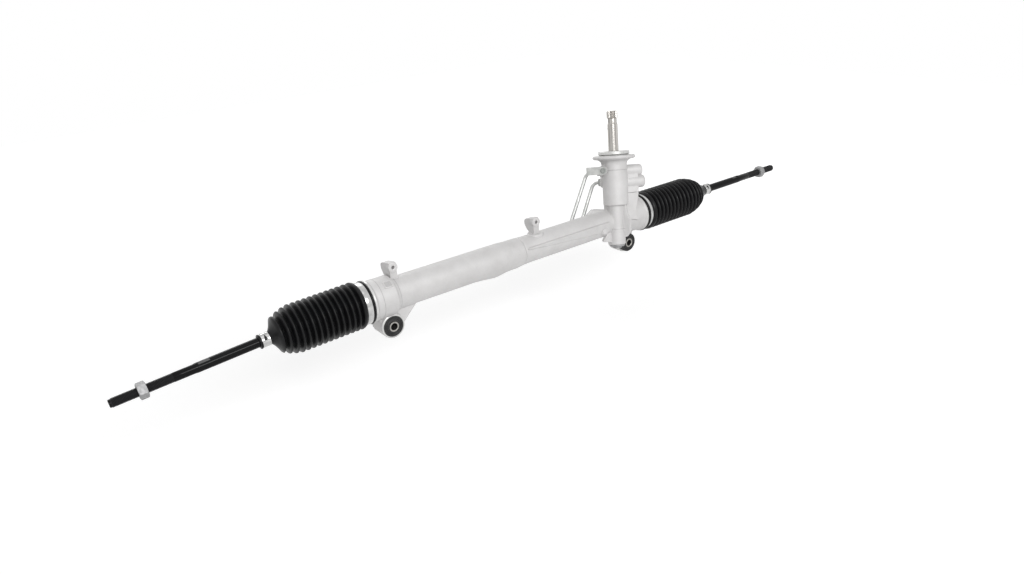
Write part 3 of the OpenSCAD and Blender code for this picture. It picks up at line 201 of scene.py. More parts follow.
@dataclass
class Shape:
    """A mesh under construction, in its own frame."""

    points: list[Array] = field(default_factory=list)
    faces: list[tuple[int, ...]] = field(default_factory=list)

    def add(self, points: Array, faces: Iterable[Sequence[int]]) -> None:
        """Adds points and the faces that join them.

        Args:
            points: new points, one row each.
            faces: corner numbers, counted from the first new point.
        """
        base = sum(map(len, self.points))
        self.points.append(np.asarray(points, float))
        self.faces.extend(tuple(base + i for i in face) for face in faces)

    def lathe(self, profile: Profile, segments: int = 96) -> "Shape":
        """Turns a profile about Z.

        Args:
            profile: (height, radius) points in order. A radius of zero closes an end.
            segments: points round the circle.

        Returns:
            This shape, so that calls can follow each other.
        """
        angles = around(segments)
        points: list[Sequence[float]] = []
        rings = []
        for z, r in profile:
            new = [(0.0, 0.0, z)] if r == 0 else circle(r, angles, z)
            rings.append(range(len(points), len(points) + len(new)))
            points.extend(new)
        faces = []
        for a, b in zip(rings, rings[1:]):
            for j in range(segments):
                k = (j + 1) % segments
                if len(a) == 1:
                    faces.append((a[0], b[k], b[j]))
                elif len(b) == 1:
                    faces.append((a[j], a[k], b[0]))
                else:
                    faces.append((a[j], a[k], b[k], b[j]))
        self.add(np.array(points), faces)
        return self

    def tube(self, rings: Sequence[Array], capped: bool = True) -> "Shape":
        """Skins a row of rings that have the same number of points.

        Args:
            rings: closed rings of points, in order.
            capped: whether both ends get a flat cap.

        Returns:
            This shape.
        """
        n = len(rings[0])
        faces: list[tuple[int, ...]] = []
        for i in range(len(rings) - 1):
            a, b = i * n, (i + 1) * n
            faces.extend((a + j, a + (j + 1) % n, b + (j + 1) % n, b + j) for j in range(n))
        if capped:
            last = (len(rings) - 1) * n
            faces.append(tuple(range(n - 1, -1, -1)))
            faces.append(tuple(range(last, last + n)))
        self.add(np.concatenate(rings), faces)
        return self

    def moved(self, placing: Array) -> "Shape":
        """Moves all that has been built so far."""
        self.points = [p @ placing[:3, :3].T + placing[:3, 3] for p in self.points]
        return self

    def build(self, name: str, placing: Array, crease: float = 32.0) -> Piece:
        """Makes the Blender object, in the row frame.

        Args:
            name: the object's name.
            placing: the shape's frame.
            crease: edges that turn by more degrees than this stay sharp.

        Returns:
            The new object, linked to the scene.
        """
        self.moved(placing)
        mesh = bpy.data.meshes.new(name)
        mesh.from_pydata((np.concatenate(self.points) * MM).tolist(), [], self.faces)
        mesh.validate()
        mesh.polygons.foreach_set("use_smooth", [True] * len(mesh.polygons))
        mesh.set_sharp_from_angle(angle=math.radians(crease))
        mesh.update()
        obj = bpy.data.objects.new(name, mesh)
        bpy.context.scene.collection.objects.link(obj)
        return obj


# Finishes


class Tree:
    """A short way to write a node tree."""

    def __init__(self, tree: bpy.types.NodeTree) -> None:
        """Takes the tree that gets the nodes."""
        self.tree = tree

    def add(self, kind: str, inputs: Optional[dict] = None, **settings: object) -> bpy.types.Node:
        """Adds a node.

        Args:
            kind: the node's type name, without ShaderNode.
            inputs: socket name or number to a value, or to a socket that feeds it.
            **settings: the node's own properties.

        Returns:
            The node.
        """
        node = self.tree.nodes.new(f"ShaderNode{kind}")
        for key, value in settings.items():
            setattr(node, key, value)
        for key, value in (inputs or {}).items():
            self.set(node.inputs[key], value)
        return node

    def set(self, socket: Socket, value: object) -> None:
        """Gives an input a value, or a socket that feeds it."""
        if isinstance(value, Socket):
            self.tree.links.new(value, socket)
        else:
            socket.default_value = value

    def math(self, operation: str, *values: object) -> Socket:
        """The outcome of an operation on numbers."""
        return self.add("Math", dict(enumerate(values)), operation=operation).outputs[0]

    def vector(self, operation: str, *values: object, output: str = "Vector") -> Socket:
        """The outcome of an operation on vectors, which is its Value where that is a number."""
        made = self.add("VectorMath", dict(enumerate(values)), operation=operation)
        return made.outputs[output]

    def scale(self, vector: object, factor: Socket) -> Socket:
        """A vector or a colour times a number."""
        return self.add("VectorMath", {0: vector, "Scale": factor}, operation="SCALE").outputs[0]


class Nodes(Tree):
    """The node tree of a new material that holds one Principled shader."""

    def __init__(self, name: str) -> None:
        """Starts the material."""
        self.material = bpy.data.materials.new(name)
        self.material.use_nodes = True
        super().__init__(self.material.node_tree)
        self.shader = next(n for n in self.tree.nodes if n.type == "BSDF_PRINCIPLED")
        self.place = self.add("TexCoord").outputs["Object"]

    def noise(
        self, scale: float, detail: float = 3.0, rough: float = 0.55, place: Optional[Socket] = None
    ) -> Socket:
        """Fractal noise with that number of cells in a metre, over the row frame or a place."""
        vector = place or self.place
        inputs = {"Vector": vector, "Scale": scale, "Detail": detail, "Roughness": rough}
        return self.add("TexNoise", inputs).outputs["Fac"]

    def ramp(self, fac: Socket, low: float, high: float, a: float, b: float) -> Socket:
        """Maps fac from low..high to a..b, and holds it there outside."""
        return self.add("MapRange", {0: fac, 1: low, 2: high, 3: a, 4: b}, clamp=True).outputs[0]

    def blend(self, fac: Socket, a: Union[Colour, Socket], b: Colour) -> Socket:
        """A colour between a and b."""
        first = a if isinstance(a, Socket) else (*a, 1)
        return self.add("Mix", {0: fac, 6: first, 7: (*b, 1)}, data_type="RGBA").outputs[2]

    def drawn(self, axis: Point, keep: float) -> Socket:
        """The place with its length along an axis cut to a share, so that marks, and the shaft's
        painted reflection streaks, run along it.
        """
        length = self.vector("DOT_PRODUCT", self.place, axis, output="Value")
        less = self.math("MULTIPLY", length, keep - 1)
        return self.vector("ADD", self.place, self.scale(axis, less))

    def bump(self, height: Socket, depth: float, normal: Optional[Socket] = None) -> Socket:
        """A bumped normal, from a height map of that depth."""
        inputs = {"Height": height, "Distance": depth * MM, "Strength": 1.0}
        if normal is not None:
            inputs["Normal"] = normal
        return self.add("Bump", inputs).outputs[0]

    def edges(self, radius: float) -> Socket:
        """A normal that rounds sharp edges by a radius."""
        return self.add("Bevel", {"Radius": radius * MM}, samples=4).outputs[0]

    def feed(self, **sockets: object) -> None:
        """Feeds the shader's sockets, given by name with _ for a space."""
        for key, value in sockets.items():
            self.set(self.shader.inputs[key.replace("_", " ")], value)


@dataclass(frozen=True)
class StepLine:
    """A fine line round a casting, where two turned or moulded lengths meet, grooved and darkened
    with painted shade.
    """

    origin: Point
    axis: Point
    height: float
    reach: float
    width: float = 0.45
    fade: float = 0.6

    def mask(self, n: Nodes) -> Socket:
        """One on the line, and zero away from it."""
        place = n.vector("ADD", n.place, tuple(-c * MM for c in self.origin))
        along = n.vector("DOT_PRODUCT", place, self.axis, output="Value")
        across = n.vector("CROSS_PRODUCT", place, self.axis)
        radius = n.vector("LENGTH", across, output="Value")
        off = n.math("ABSOLUTE", n.math("SUBTRACT", along, self.height * MM))
        line = n.ramp(off, self.width * MM / 3, self.width * MM, 1, 0)
        near = n.ramp(radius, (self.reach - self.fade) * MM, self.reach * MM, 1, 0)
        return n.math("MULTIPLY", line, near)


@dataclass(frozen=True)
class CastFinish:
    """Shot blasted aluminium as cast: pale and matt, with fine grain, and painted shade in its
    corners and along its lines.
    """

    lines: tuple[StepLine, ...]
    name: str = "cast_skin"
    dark: Colour = (0.590, 0.580, 0.577)
    light: Colour = (0.670, 0.662, 0.659)
    rough: Pair = (0.50, 0.64)
    metallic: float = 0.25
    grain: float = 1500.0
    grain_depth: float = 0.035
    grain_gain: Pair = (0.955, 1.045)
    hollow_gain: float = -0.45
    edge_gain: float = 0.08
    line_gain: float = -0.34
    line_depth: float = 0.2

    def make(self) -> Material:
        """Builds the material."""
        n = Nodes(self.name)
        cloud = n.ramp(n.noise(30, 5, 0.7), 0.30, 0.70, 0, 1)
        skin = n.blend(cloud, self.dark, self.light)
        bend = n.add("NewGeometry").outputs["Pointiness"]
        # Painted shade: the colour darkens where the surface is hollow, in corners and creases.
        painted_hollow_shade = n.ramp(bend, 0.42, 0.495, self.hollow_gain, 0.0)
        rubbed = n.ramp(bend, 0.505, 0.58, 0.0, self.edge_gain)
        fine = n.ramp(n.noise(self.grain, 2), 0.3, 0.7, *self.grain_gain)
        drop, *others = [line.mask(n) for line in self.lines]
        for mask in others:
            drop = n.math("MAXIMUM", drop, mask)
        gain = n.math("ADD", n.math("ADD", painted_hollow_shade, rubbed), fine)
        # Painted shade: the colour darkens along the step lines, over their bumped grooves.
        gain = n.math("ADD", gain, n.math("MULTIPLY", drop, self.line_gain))
        groove = n.bump(n.math("SUBTRACT", 1.0, drop), self.line_depth)
        waves = n.bump(n.noise(120, 3), 0.035, n.bump(n.noise(22, 2), 0.16, groove))
        normal = n.bump(n.noise(self.grain, 3), self.grain_depth, waves)
        rough = n.ramp(n.noise(55, 3), 0.3, 0.7, *self.rough)
        colour = n.scale(skin, gain)
        n.feed(Base_Color=colour, Roughness=rough, Metallic=self.metallic, Normal=normal)
        return n.material


@dataclass(frozen=True)
class MetalFinish:
    """Turned, ground, plated or painted metal."""

    name: str
    colour: Colour
    rough: Pair
    metallic: float = 1.0
    mottle: float = 0.08
    mottle_scale: float = 140.0
    grain: float = 1200.0
    grain_depth: float = 0.01
    turned: Optional[Point] = None
    turned_depth: float = 0.012
    turned_scale: float = 2600.0
    drawn: Optional[Point] = None
    drawn_keep: float = 0.02
    edge: float = 0.25
    coat: float = 0.0
    coat_rough: float = 0.08
    specular: float = 0.5

    def make(self) -> Material:
        """Builds the material."""
        n = Nodes(self.name)
        dark = tuple(c * (1 - self.mottle) for c in self.colour)
        light = tuple(min(1.0, c * (1 + self.mottle)) for c in self.colour)
        place = n.place if self.drawn is None else n.drawn(self.drawn, self.drawn_keep)
        # Random tone; on the shaft, strong and stretched along its axis, it is painted reflection
        # streaks.
        spots_and_reflection = n.ramp(n.noise(self.mottle_scale, 4, 0.6, place), 0.35, 0.65, 0, 1)
        rough = n.ramp(n.noise(self.mottle_scale * 1.7, 3, 0.55, place), 0.3, 0.7, *self.rough)
        normal = n.bump(n.noise(self.grain, 2, 0.55, place), self.grain_depth, n.edges(self.edge))
        if self.turned is not None:
            along = n.vector("DOT_PRODUCT", n.place, self.turned, output="Value")
            inputs = {"W": along, "Scale": self.turned_scale, "Detail": 2.0}
            lines = n.add("TexNoise", inputs, noise_dimensions="1D").outputs["Fac"]
            normal = n.bump(lines, self.turned_depth, normal)
        n.feed(Base_Color=n.blend(spots_and_reflection, dark, light), Roughness=rough, Metallic=self.metallic)
        n.feed(Normal=normal, Coat_Weight=self.coat, Coat_Roughness=self.coat_rough)
        n.feed(Specular_IOR_Level=self.specular)
        return n.material


@dataclass(frozen=True)
class RubberFinish:
    """Moulded rubber or resin: a satin skin with fine grain and a little bloom."""

    name: str
    colour: Colour
    bloom: Colour
    rough: Pair = (0.38, 0.50)
    grain: float = 1400.0
    grain_depth: float = 0.03
    speckle: float = 0.0
    speckle_scale: float = 2100.0
    dust: Colour = (0.32, 0.31, 0.30)
    edge: float = 0.3
    specular: float = 0.35

    def make(self) -> Material:
        """Builds the material."""
        n = Nodes(self.name)
        colour = n.blend(n.ramp(n.noise(70, 4, 0.65), 0.42, 0.72, 0, 1), self.colour, self.bloom)
        if self.speckle:
            dots = n.ramp(n.noise(self.speckle_scale, 1), 0.62, 0.7, 0, self.speckle)
            colour = n.blend(dots, colour, self.dust)
        rough = n.ramp(n.noise(110, 3), 0.3, 0.7, *self.rough)
        normal = n.bump(n.noise(self.grain, 2), self.grain_depth, n.edges(self.edge))
        n.feed(Base_Color=colour, Roughness=rough, Metallic=0.0, Normal=normal)
        n.feed(Specular_IOR_Level=self.specular)
        return n.material


def step_lines() -> Iterable[StepLine]:
    """The lines round the tower and round the rack's ends, as (height, reach) pairs."""
    for height, reach in ((-12.0, 16.0), (86.1, 22.2)):
        yield StepLine(tuple(LAYOUT.tower()[:3, 3]), TOWER_AXIS, height, reach)
    for height, reach in ((9.4, 31.0), (14.6, 25.0), (-14.0, 30.0), (-24.2, 31.5)):
        yield StepLine((0.0, 0.0, LAYOUT.rack_height), RACK_AXIS, height, reach)


FINISHES = (
    CastFinish(tuple(step_lines())),
    MetalFinish("machined_alloy", (0.60, 0.60, 0.59), (0.36, 0.48), 0.6, turned=RACK_AXIS),
    # shaft_steel: its strong mottle, drawn out along the tower axis, is painted reflection, the
    # light and dark streaks that polished steel mirrors.
    MetalFinish(
        "shaft_steel", (0.395, 0.38, 0.36), (0.23, 0.36), 0.95, 0.55, 300, 2400, drawn=TOWER_AXIS
    ),
    MetalFinish(
        "rack_steel", (0.56, 0.545, 0.52), (0.14, 0.24), turned=RACK_AXIS, turned_depth=0.006
    ),
    MetalFinish("zinc_plate", (0.33, 0.33, 0.333), (0.50, 0.64), 0.7, 0.16, 300),
    MetalFinish("clamp_band", (0.50, 0.50, 0.495), (0.16, 0.28), 1.0, 0.14, 90),
    MetalFinish("sleeve_steel", (0.36, 0.35, 0.33), (0.34, 0.48), 1.0, 0.12, 300),
    MetalFinish("bore_shade", (0.035, 0.034, 0.033), (0.5, 0.65), 0.4, 0.2),
    MetalFinish(
        "black_paint", (0.003, 0.003, 0.0034), (0.20, 0.30), 0.0, 0.3, grain=500,
        grain_depth=0.015, coat=0.18, specular=0.04,
    ),
    MetalFinish("black_thread", (0.010, 0.010, 0.011), (0.40, 0.55), 0.1, 0.25, specular=0.2),
    MetalFinish("hardened_steel_oiled", (0.22, 0.22, 0.225), (0.25, 0.4)),
    MetalFinish(
        "sintered_bronze", (0.56, 0.37, 0.20), (0.35, 0.5), grain=2600, grain_depth=0.03
    ),
    MetalFinish("plated_sheet", (0.385, 0.39, 0.38), (0.46, 0.60), 0.6, 0.12),
    MetalFinish("plated_bolt", (0.24, 0.25, 0.24), (0.40, 0.55), 0.7, 0.2, 300),
    MetalFinish("plated_tube", (0.53, 0.535, 0.525), (0.28, 0.40), 0.8, 0.14),
    RubberFinish(
        "boot_skin", (0.004, 0.004, 0.0045), (0.008, 0.008, 0.009), (0.30, 0.42), specular=0.2
    ),
    RubberFinish(
        "bush_skin", (0.016, 0.016, 0.017), (0.034, 0.034, 0.034), (0.5, 0.7), speckle=0.30
    ),
    RubberFinish("seal_skin", (0.02, 0.02, 0.02), (0.04, 0.04, 0.04)),
    RubberFinish(
        "bearing_resin", (0.70, 0.67, 0.58), (0.76, 0.73, 0.65), (0.35, 0.5), specular=0.5
    ),
)

# The CAD nodes that keep their shape, by the finish they get.
DRESSED_NODES = {
    "cast_skin": "rack_yoke",
    "machined_alloy": "top_cap",
    "shaft_steel": "input_shaft valve_sleeve pinion",
    "rack_steel": "rack_bar yoke_plug lower_bearing upper_bearing",
    "zinc_plate": "left_lock_nut right_lock_nut yoke_lock_nut lower_nut lower_plug",
    "hardened_steel_oiled": "piston yoke_spring torsion_bar torsion_pin left_joint_socket"
    " right_joint_socket",
    "sintered_bronze": "outer_rack_bush inner_rack_bush right_stop_ring pinion_bush",
    "bearing_resin": "piston_ring valve_rings left_ball_seat right_ball_seat",
    "seal_skin": "outer_rack_seal inner_rack_seal shaft_seal",
    "plated_sheet": "pipe_bracket pipe_nuts",
    "plated_bolt": "bracket_bolt",
}


class Finishes:
    """Every finish of the rack, made once."""

    def __init__(self) -> None:
        """Makes the materials."""
        self.made = {finish.name: finish.make() for finish in FINISHES}

    def dress(self, obj: Piece, *names: str) -> None:
        """Gives an object these finishes, the first one all over."""
        obj.data.materials.clear()
        for name in names:
            obj.data.materials.append(self.made[name])


# Sub-assemblies


class Edges:
    """The edges of a mesh, for smoothing."""

    def __init__(self, mesh: bpy.types.Mesh) -> None:
        """Reads the two points of each edge, and how many edges meet at each point."""
        pairs = np.zeros(len(mesh.edges) * 2, np.int64)
        mesh.edges.foreach_get("vertices", pairs)
        self.a, self.b = pairs.reshape(-1, 2).T
        self.ends = np.bincount(pairs, minlength=len(mesh.vertices))[:, None]

    def means(self, points: Array) -> Array:
        """The mean of each point's neighbours."""
        total = np.zeros_like(points)
        for axis in range(3):
            total[:, axis] = np.bincount(self.a, points[self.b, axis], len(points))
            total[:, axis] += np.bincount(self.b, points[self.a, axis], len(points))
        return total / np.maximum(self.ends, 1)


@dataclass
class Castings:
    """The two housing castings, remeshed from their CAD nodes so that edges are round."""

    frame: dict
    finishes: Finishes
    voxel: float = 0.64
    passes: int = 4
    lip: float = 0.06
    bore_hold: float = 20.5
    seat_hold: float = 20.0
    seat_depth: float = 6.0
    seat_share: float = 0.1
    eye_hold: float = 16.6
    valve_hold: float = 18.0
    valve_floor: float = 25.0
    wall: Profile = ((100.0, 23.5), (201.5, 23.5), (212.5, 22.6), (240.0, 22.6))
    swelling: Profile = (
        (148.0, 0.0), (160.0, 1.0), (172.0, 2.3), (181.0, 3.2), (188.0, 3.2), (196.0, 2.1),
        (203.0, 0.9), (212.5, 1.4), (226.0, 1.2), (232.0, 0.3), (234.0, 0.0),
    )
    swelling_inside: float = 21.8
    swelling_reach: float = 66.0
    swelling_turn: float = 14.0
    swelling_power: float = 1.6
    swelling_fade: float = 16.0
    swelling_passes: int = 16
    pad: tuple[Point, ...] = (
        (6.2, 5.6, 27.0), (6.2, 5.6, 30.0), (5.8, 5.2, 30.4), (4.9, 4.3, 30.4), (4.7, 4.1, 29.9)
    )
    pad_from_seat: float = 29.8
    pad_turn: float = 36.0
    boss: Profile = ((0.0, 6.6), (5.0, 6.1), (6.2, 5.5), (8.3, 5.2), (8.8, 4.9), (9.0, 4.3))
    boss_place: Point = (399.0, -17.0, 36.5)

    def nearby(self, points: Array) -> Array:
        """How much each point may be smoothed: little beside the bores and seats.

        Args:
            points: the points, in the row frame.

        Returns:
            One number from 0 to 1 for each point.
        """
        free = np.ones(len(points))
        from_axis = np.hypot(points[:, 1], points[:, 2] - LAYOUT.rack_height)
        free[from_axis < self.bore_hold] = 0.0
        for side in Side:
            beyond = (points[:, 0] - LAYOUT.seat(side)) * side.value
            free[(beyond > -self.seat_depth) & (from_axis > self.seat_hold)] = self.seat_share
            eye = points - LAYOUT.at_mount(side)[:3, 3]
            free[np.hypot(eye[:, 0], eye[:, 2]) < self.eye_hold] = 0.0
        local = (points - LAYOUT.tower()[:3, 3]) @ LAYOUT.tower()[:3, :3]
        valve = np.hypot(local[:, 0], local[:, 1]) < self.valve_hold
        free[valve & (local[:, 2] > self.valve_floor)] = 0.0
        return free

    def swell(self, points: Array, edges: Edges) -> None:
        """Turns the flat pad under the cylinder into the long low swelling of the real casting.

        Args:
            points: the end casting's points, which are moved.
            edges: the end casting's edges.
        """
        def places() -> tuple[Array, Array]:
            """Each point's distance from the rack axis, and its angle from straight down."""
            y, z = points[:, 1], points[:, 2] - LAYOUT.rack_height
            return np.hypot(y, z), np.degrees(np.arctan2(y, -z))

        radius, angle = places()
        near = (points[:, 0] > self.swelling[0][0]) & (points[:, 0] < self.swelling[-1][0])
        near &= (np.abs(angle) < self.swelling_reach) & (radius > self.swelling_inside)
        stretch = self.swelling_reach - self.swelling_fade
        for _ in range(self.swelling_passes):
            radius, angle = places()
            wall = np.interp(points[:, 0], *np.transpose(self.wall))
            height = np.interp(points[:, 0], *np.transpose(self.swelling))
            phase = np.radians(np.clip((angle + self.swelling_turn) * 90 / stretch, -90, 90))
            gain = ((wall + height * np.cos(phase) ** self.swelling_power) / radius)[near]
            points[near, 1] *= gain
            z = (points[:, 2] - LAYOUT.rack_height)[near]
            points[near, 2] = LAYOUT.rack_height + z * gain
            points[near] = edges.means(points)[near]

    def remesh(self, node: str) -> None:
        """Makes a rounded copy of one CAD casting that stands for it."""
        source = self.frame["nodes"][node]
        obj = bpy.data.objects.new(f"{node}_casting", source.data.copy())
        bpy.context.scene.collection.objects.link(obj)
        modifier = obj.modifiers.new("voxels", "REMESH")
        modifier.mode = "VOXEL"
        modifier.voxel_size = self.voxel * MM
        graph = bpy.context.evaluated_depsgraph_get()
        mesh = bpy.data.meshes.new_from_object(obj.evaluated_get(graph))
        obj.modifiers.clear()
        obj.data = mesh
        points = np.zeros(len(mesh.vertices) * 3)
        mesh.vertices.foreach_get("co", points)
        points = points.reshape(-1, 3) / MM
        edges = Edges(mesh)
        if node == "end_housing":
            self.swell(points, edges)
        free = self.nearby(points)[:, None]
        for pull in (0.55, -0.50) * self.passes:
            points += pull * free * (edges.means(points) - points)
        mesh.vertices.foreach_set("co", (points * MM).ravel())
        mesh.polygons.foreach_set("use_smooth", [True] * len(mesh.polygons))
        mesh.update()
        self.finishes.dress(obj, "cast_skin")
        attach(obj, "housing")
        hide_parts(node)
        LOG.info("%s has %d faces", obj.name, len(mesh.polygons))

    def machined_ring(self, name: str, placing: Array, profile: Profile) -> None:
        """A thin skin over a machined seat or face."""
        obj = Shape().lathe(profile).build(name, placing)
        self.finishes.dress(obj, "machined_alloy")
        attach(obj, "housing")

    def raised(self, name: str, placing: Array, rings: Sequence[Array]) -> None:
        """A small raised detail with crisp edges, cast on."""
        obj = Shape().tube(rings).build(name, placing, crease=40)
        self.finishes.dress(obj, "cast_skin")
        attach(obj, "housing")

    def details(self) -> None:
        """The bare pad on the thick end and the small boss beside the tower's foot."""
        corners = [(1, 1), (-1, 1), (-1, -1), (1, -1)]
        rings = []
        for half_x, half_y, z in self.pad:
            rings.append(np.array([
                (sx * (half_x - 1) + math.cos(a), sy * (half_y - 1) + math.sin(a), z)
                for i, (sx, sy) in enumerate(corners)
                for a in np.radians(np.linspace(90 * i, 90 * i + 90, 6))
            ]))
        placing = shift(LAYOUT.left_seat + self.pad_from_seat, 0, LAYOUT.rack_height)
        self.raised("left_bare_pad", placing @ turn("X", self.pad_turn), rings)
        placing = shift(*self.boss_place) @ turn("X", 90 - LAYOUT.lean)
        self.raised("foot_boss", placing, [circle(r, around(40), z) for z, r in self.boss])

    def build(self) -> None:
        """Makes both castings and their machined faces."""
        self.details()
        for node in ("end_housing", "pinion_housing"):
            self.remesh(node)
        lip = self.lip
        collar = [
            (-5.05, 29.0), (-5.05, 30.6), (-4.6, 31 + lip), (-2.2, 31 + lip), (-1.75, 30.6),
            (-1.75, 28 + lip), (12.0, 28 + lip), (13 + lip, 27.0), (13 + lip, 19.0),
        ]
        for side in Side:
            seat = LAYOUT.outward(side, LAYOUT.seat(side))
            self.machined_ring(f"{side.word}_collar", seat, collar)
            for end, way in ((16.0 if side is Side.LEFT else 8.0, 1), (-16.0, -1)):
                face = [(end + way * lip, 15.7), (end + way * lip, 17.1), (end - way * 0.5, 17.9)]
                name = f"{side.word}_eye_{'front' if way > 0 else 'back'}"
                self.machined_ring(name, LAYOUT.at_mount(side), face[::way])
        flange = [(109.8 + lip, 27.1), (109.8 + lip, 33.1), (109.3, 34.2)]
        self.machined_ring("tower_flange_face", LAYOUT.tower(), flange)


@dataclass(frozen=True)
class BootFit:
    """What differs between the two boots. The seam's place counts outward from the ball."""

    bead_end: float
    bead_radius: float
    clamp_shift: float
    seam_place: float
    seam_radius: float
    ear_degrees: float
    window_degrees: float


BOOT_FITS = {
    Side.LEFT: BootFit(1.7, 31.3, 1.8, 17.0, 25.0, -4.0, -45.0),
    Side.RIGHT: BootFit(3.4, 32.3, -2.2, 26.0, 22.0, 182.0, 230.0),
}


@dataclass
class Boot:
    """A convoluted rubber boot with its two band clamps."""

    side: Side
    finishes: Finishes
    fit: BootFit
    folds: int = 15
    fold_steps: int = 12
    first_fold: float = 15.6
    crest: float = 33.9
    depth: float = 6.0
    valley_power: float = 1.25
    growth: tuple[float, ...] = (0, 0, 1.7, 4.4, 8.6)
    cuff: float = 29.6
    neck: float = 8.5
    cone_mean: float = 25.0
    cone_share: float = 0.47
    band_end: float = 10.4
    band_inner: float = 29.66
    band_outer: float = 30.46
    band_half: float = 5.6
    window_half: float = 26.0
    window_width: float = 2.8
    segments: int = 112

    @property
    def clamp_z(self) -> float:
        """Distance of the small clamp from the ball, along the rod."""
        return LAYOUT.small_clamp_at + self.fit.clamp_shift

    @property
    def clamp_s(self) -> float:
        """Distance of the small clamp from the seat, along the rack."""
        droop = math.radians(LAYOUT.droop(self.side))
        return LAYOUT.reach(self.side) + self.clamp_z * math.cos(droop)

    @property
    def last_fold(self) -> float:
        """Distance of the last crest from the seat, which leaves a cone up to the clamp."""
        cone = self.cone_mean + self.side.value * self.cone_share * LAYOUT.rest_shift
        return self.clamp_s - cone

    def outside(self) -> Profile:
        """The outer skin from the bead at the casting to the lip on the rod."""
        pitch = (self.last_fold - self.first_fold) / (self.folds - 1)
        end, top, cuff = self.fit.bead_end, self.fit.bead_radius, self.cuff
        points = [(-1.4, 28.4), (-1.4, top - 1), (-1.1, top - 0.4), (-0.4, top), (end - 1, top)]
        points += [(end - 0.3, top - 0.4), (end, top - 1.2), (end + 0.2, cuff), (10.6, cuff)]
        points += [(10.9, 30.6), (11.4, 31.6), (12.4, 32.6)]
        for i in range((self.folds - 1) * self.fold_steps + 1):
            k = i / self.fold_steps
            drop = np.interp(k - self.folds + 5, range(5), self.growth)
            wave = ((1 - math.cos(2 * math.pi * k)) / 2) ** self.valley_power
            radius = self.crest - drop - self.depth * wave - 0.15
            points.append((self.first_fold + k * pitch, radius))
        z, half, neck = self.clamp_s, self.band_half + 0.2, self.neck
        start_s, start_r = points[-1][0] + 0.9, points[-1][1] - 0.5
        cone_s, cone_r = z - half - 1.2 - start_s, neck + 0.7 - start_r
        for t in (0, 0.25, 0.5, 0.75, 1):
            belly = t + 0.10 * math.sin(math.pi * t)
            points.append((start_s + t * cone_s, start_r + belly * cone_r))
        points += [(z - half, neck), (z + half, neck), (z + half + 0.4, neck + 1.1)]
        return points + [(z + 7.4, neck + 1.3), (z + 8.2, neck + 0.9), (z + 8.5, neck)]

    def inside(self) -> Profile:
        """The inner skin, back from the lip on the rod to the casting."""
        last, first = self.last_fold, self.first_fold
        points = [(self.clamp_s + 8.5, 7.0), (self.clamp_s - 7.5, 7.0), (last, 19.5)]
        return points + [(last - 22, 25.6), (first + 6, 25.6), (13.5, 28.35), (-1.4, 28.35)]

    def centre(self, s: float) -> Pair:
        """The drop of the boot's middle line and its slope, at a distance from the seat.

        Args:
            s: distance from the seat along the rack.

        Returns:
            The drop, and the slope in degrees.
        """
        droop = math.tan(math.radians(LAYOUT.droop(self.side)))
        reach = LAYOUT.reach(self.side)
        end = (self.last_fold - reach) * droop
        if s <= self.first_fold:
            return 0.0, 0.0
        if s < self.last_fold:
            part = (s - self.first_fold) / (self.last_fold - self.first_fold)
            slope = math.degrees(math.atan(end / (self.last_fold - self.first_fold)))
            return end * part, slope * min(1.0, part * 6)
        return (s - reach) * droop, LAYOUT.droop(self.side)

    def ring(self, s: float, r: float, leans: bool = True) -> Array:
        """A ring of the skin.

        Args:
            s: distance from the seat along the rack.
            r: the ring's radius.
            leans: whether it stands across the boot's middle line.

        Returns:
            Its points in the row frame.
        """
        drop, slope = self.centre(s)
        angles = around(self.segments)
        way, lean = self.side.value, math.radians(slope) if leans else 0.0
        across = r * np.cos(angles)
        x = LAYOUT.seat(self.side) + way * (s + across * math.sin(lean))
        z = LAYOUT.rack_height - drop + across * math.cos(lean)
        return np.stack([x, way * r * np.sin(angles), z], 1)

    def half(self, name: str, rings: list[Array]) -> Piece:
        """One length of the boot's skin as an object."""
        obj = Shape().tube(rings, capped=False).build(name, np.eye(4), crease=60)
        self.finishes.dress(obj, "boot_skin")
        return obj

    def build(self) -> None:
        """Makes the boot in two lengths that meet at a seam ring."""
        outside, inside = self.outside(), self.inside()
        rings = [self.ring(s, r) for s, r in [*outside, *inside]]
        way = self.side.value
        part_s = LAYOUT.reach(self.side) + self.fit.seam_place
        cut = min(range(len(outside)), key=lambda i: abs(outside[i][0] - part_s))
        turned = len(outside)
        plane_s = outside[cut][0]
        nearest = turned + next(i for i, (s, _) in enumerate(inside) if s < plane_s)
        seam = self.ring(plane_s, self.fit.seam_radius, leans=False)
        near = rings[: cut + 1] + [seam] + rings[nearest:] + [rings[0]]
        far = [seam] + rings[cut:turned] + rings[turned:nearest] + [seam]
        seat, plane = LAYOUT.seat(self.side) * MM, (LAYOUT.seat(self.side) + way * plane_s) * MM
        first = self.half(f"{self.side.word}_boot_folds", near)
        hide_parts(f"{self.side.word}_boot")
        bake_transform(first)
        second = self.half(f"{self.side.word}_boot_neck", far)
        end = (LAYOUT.seat(self.side) + way * (self.clamp_s - 6)) * MM
        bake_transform(second)
        self.big_clamp()
        self.small_clamp()

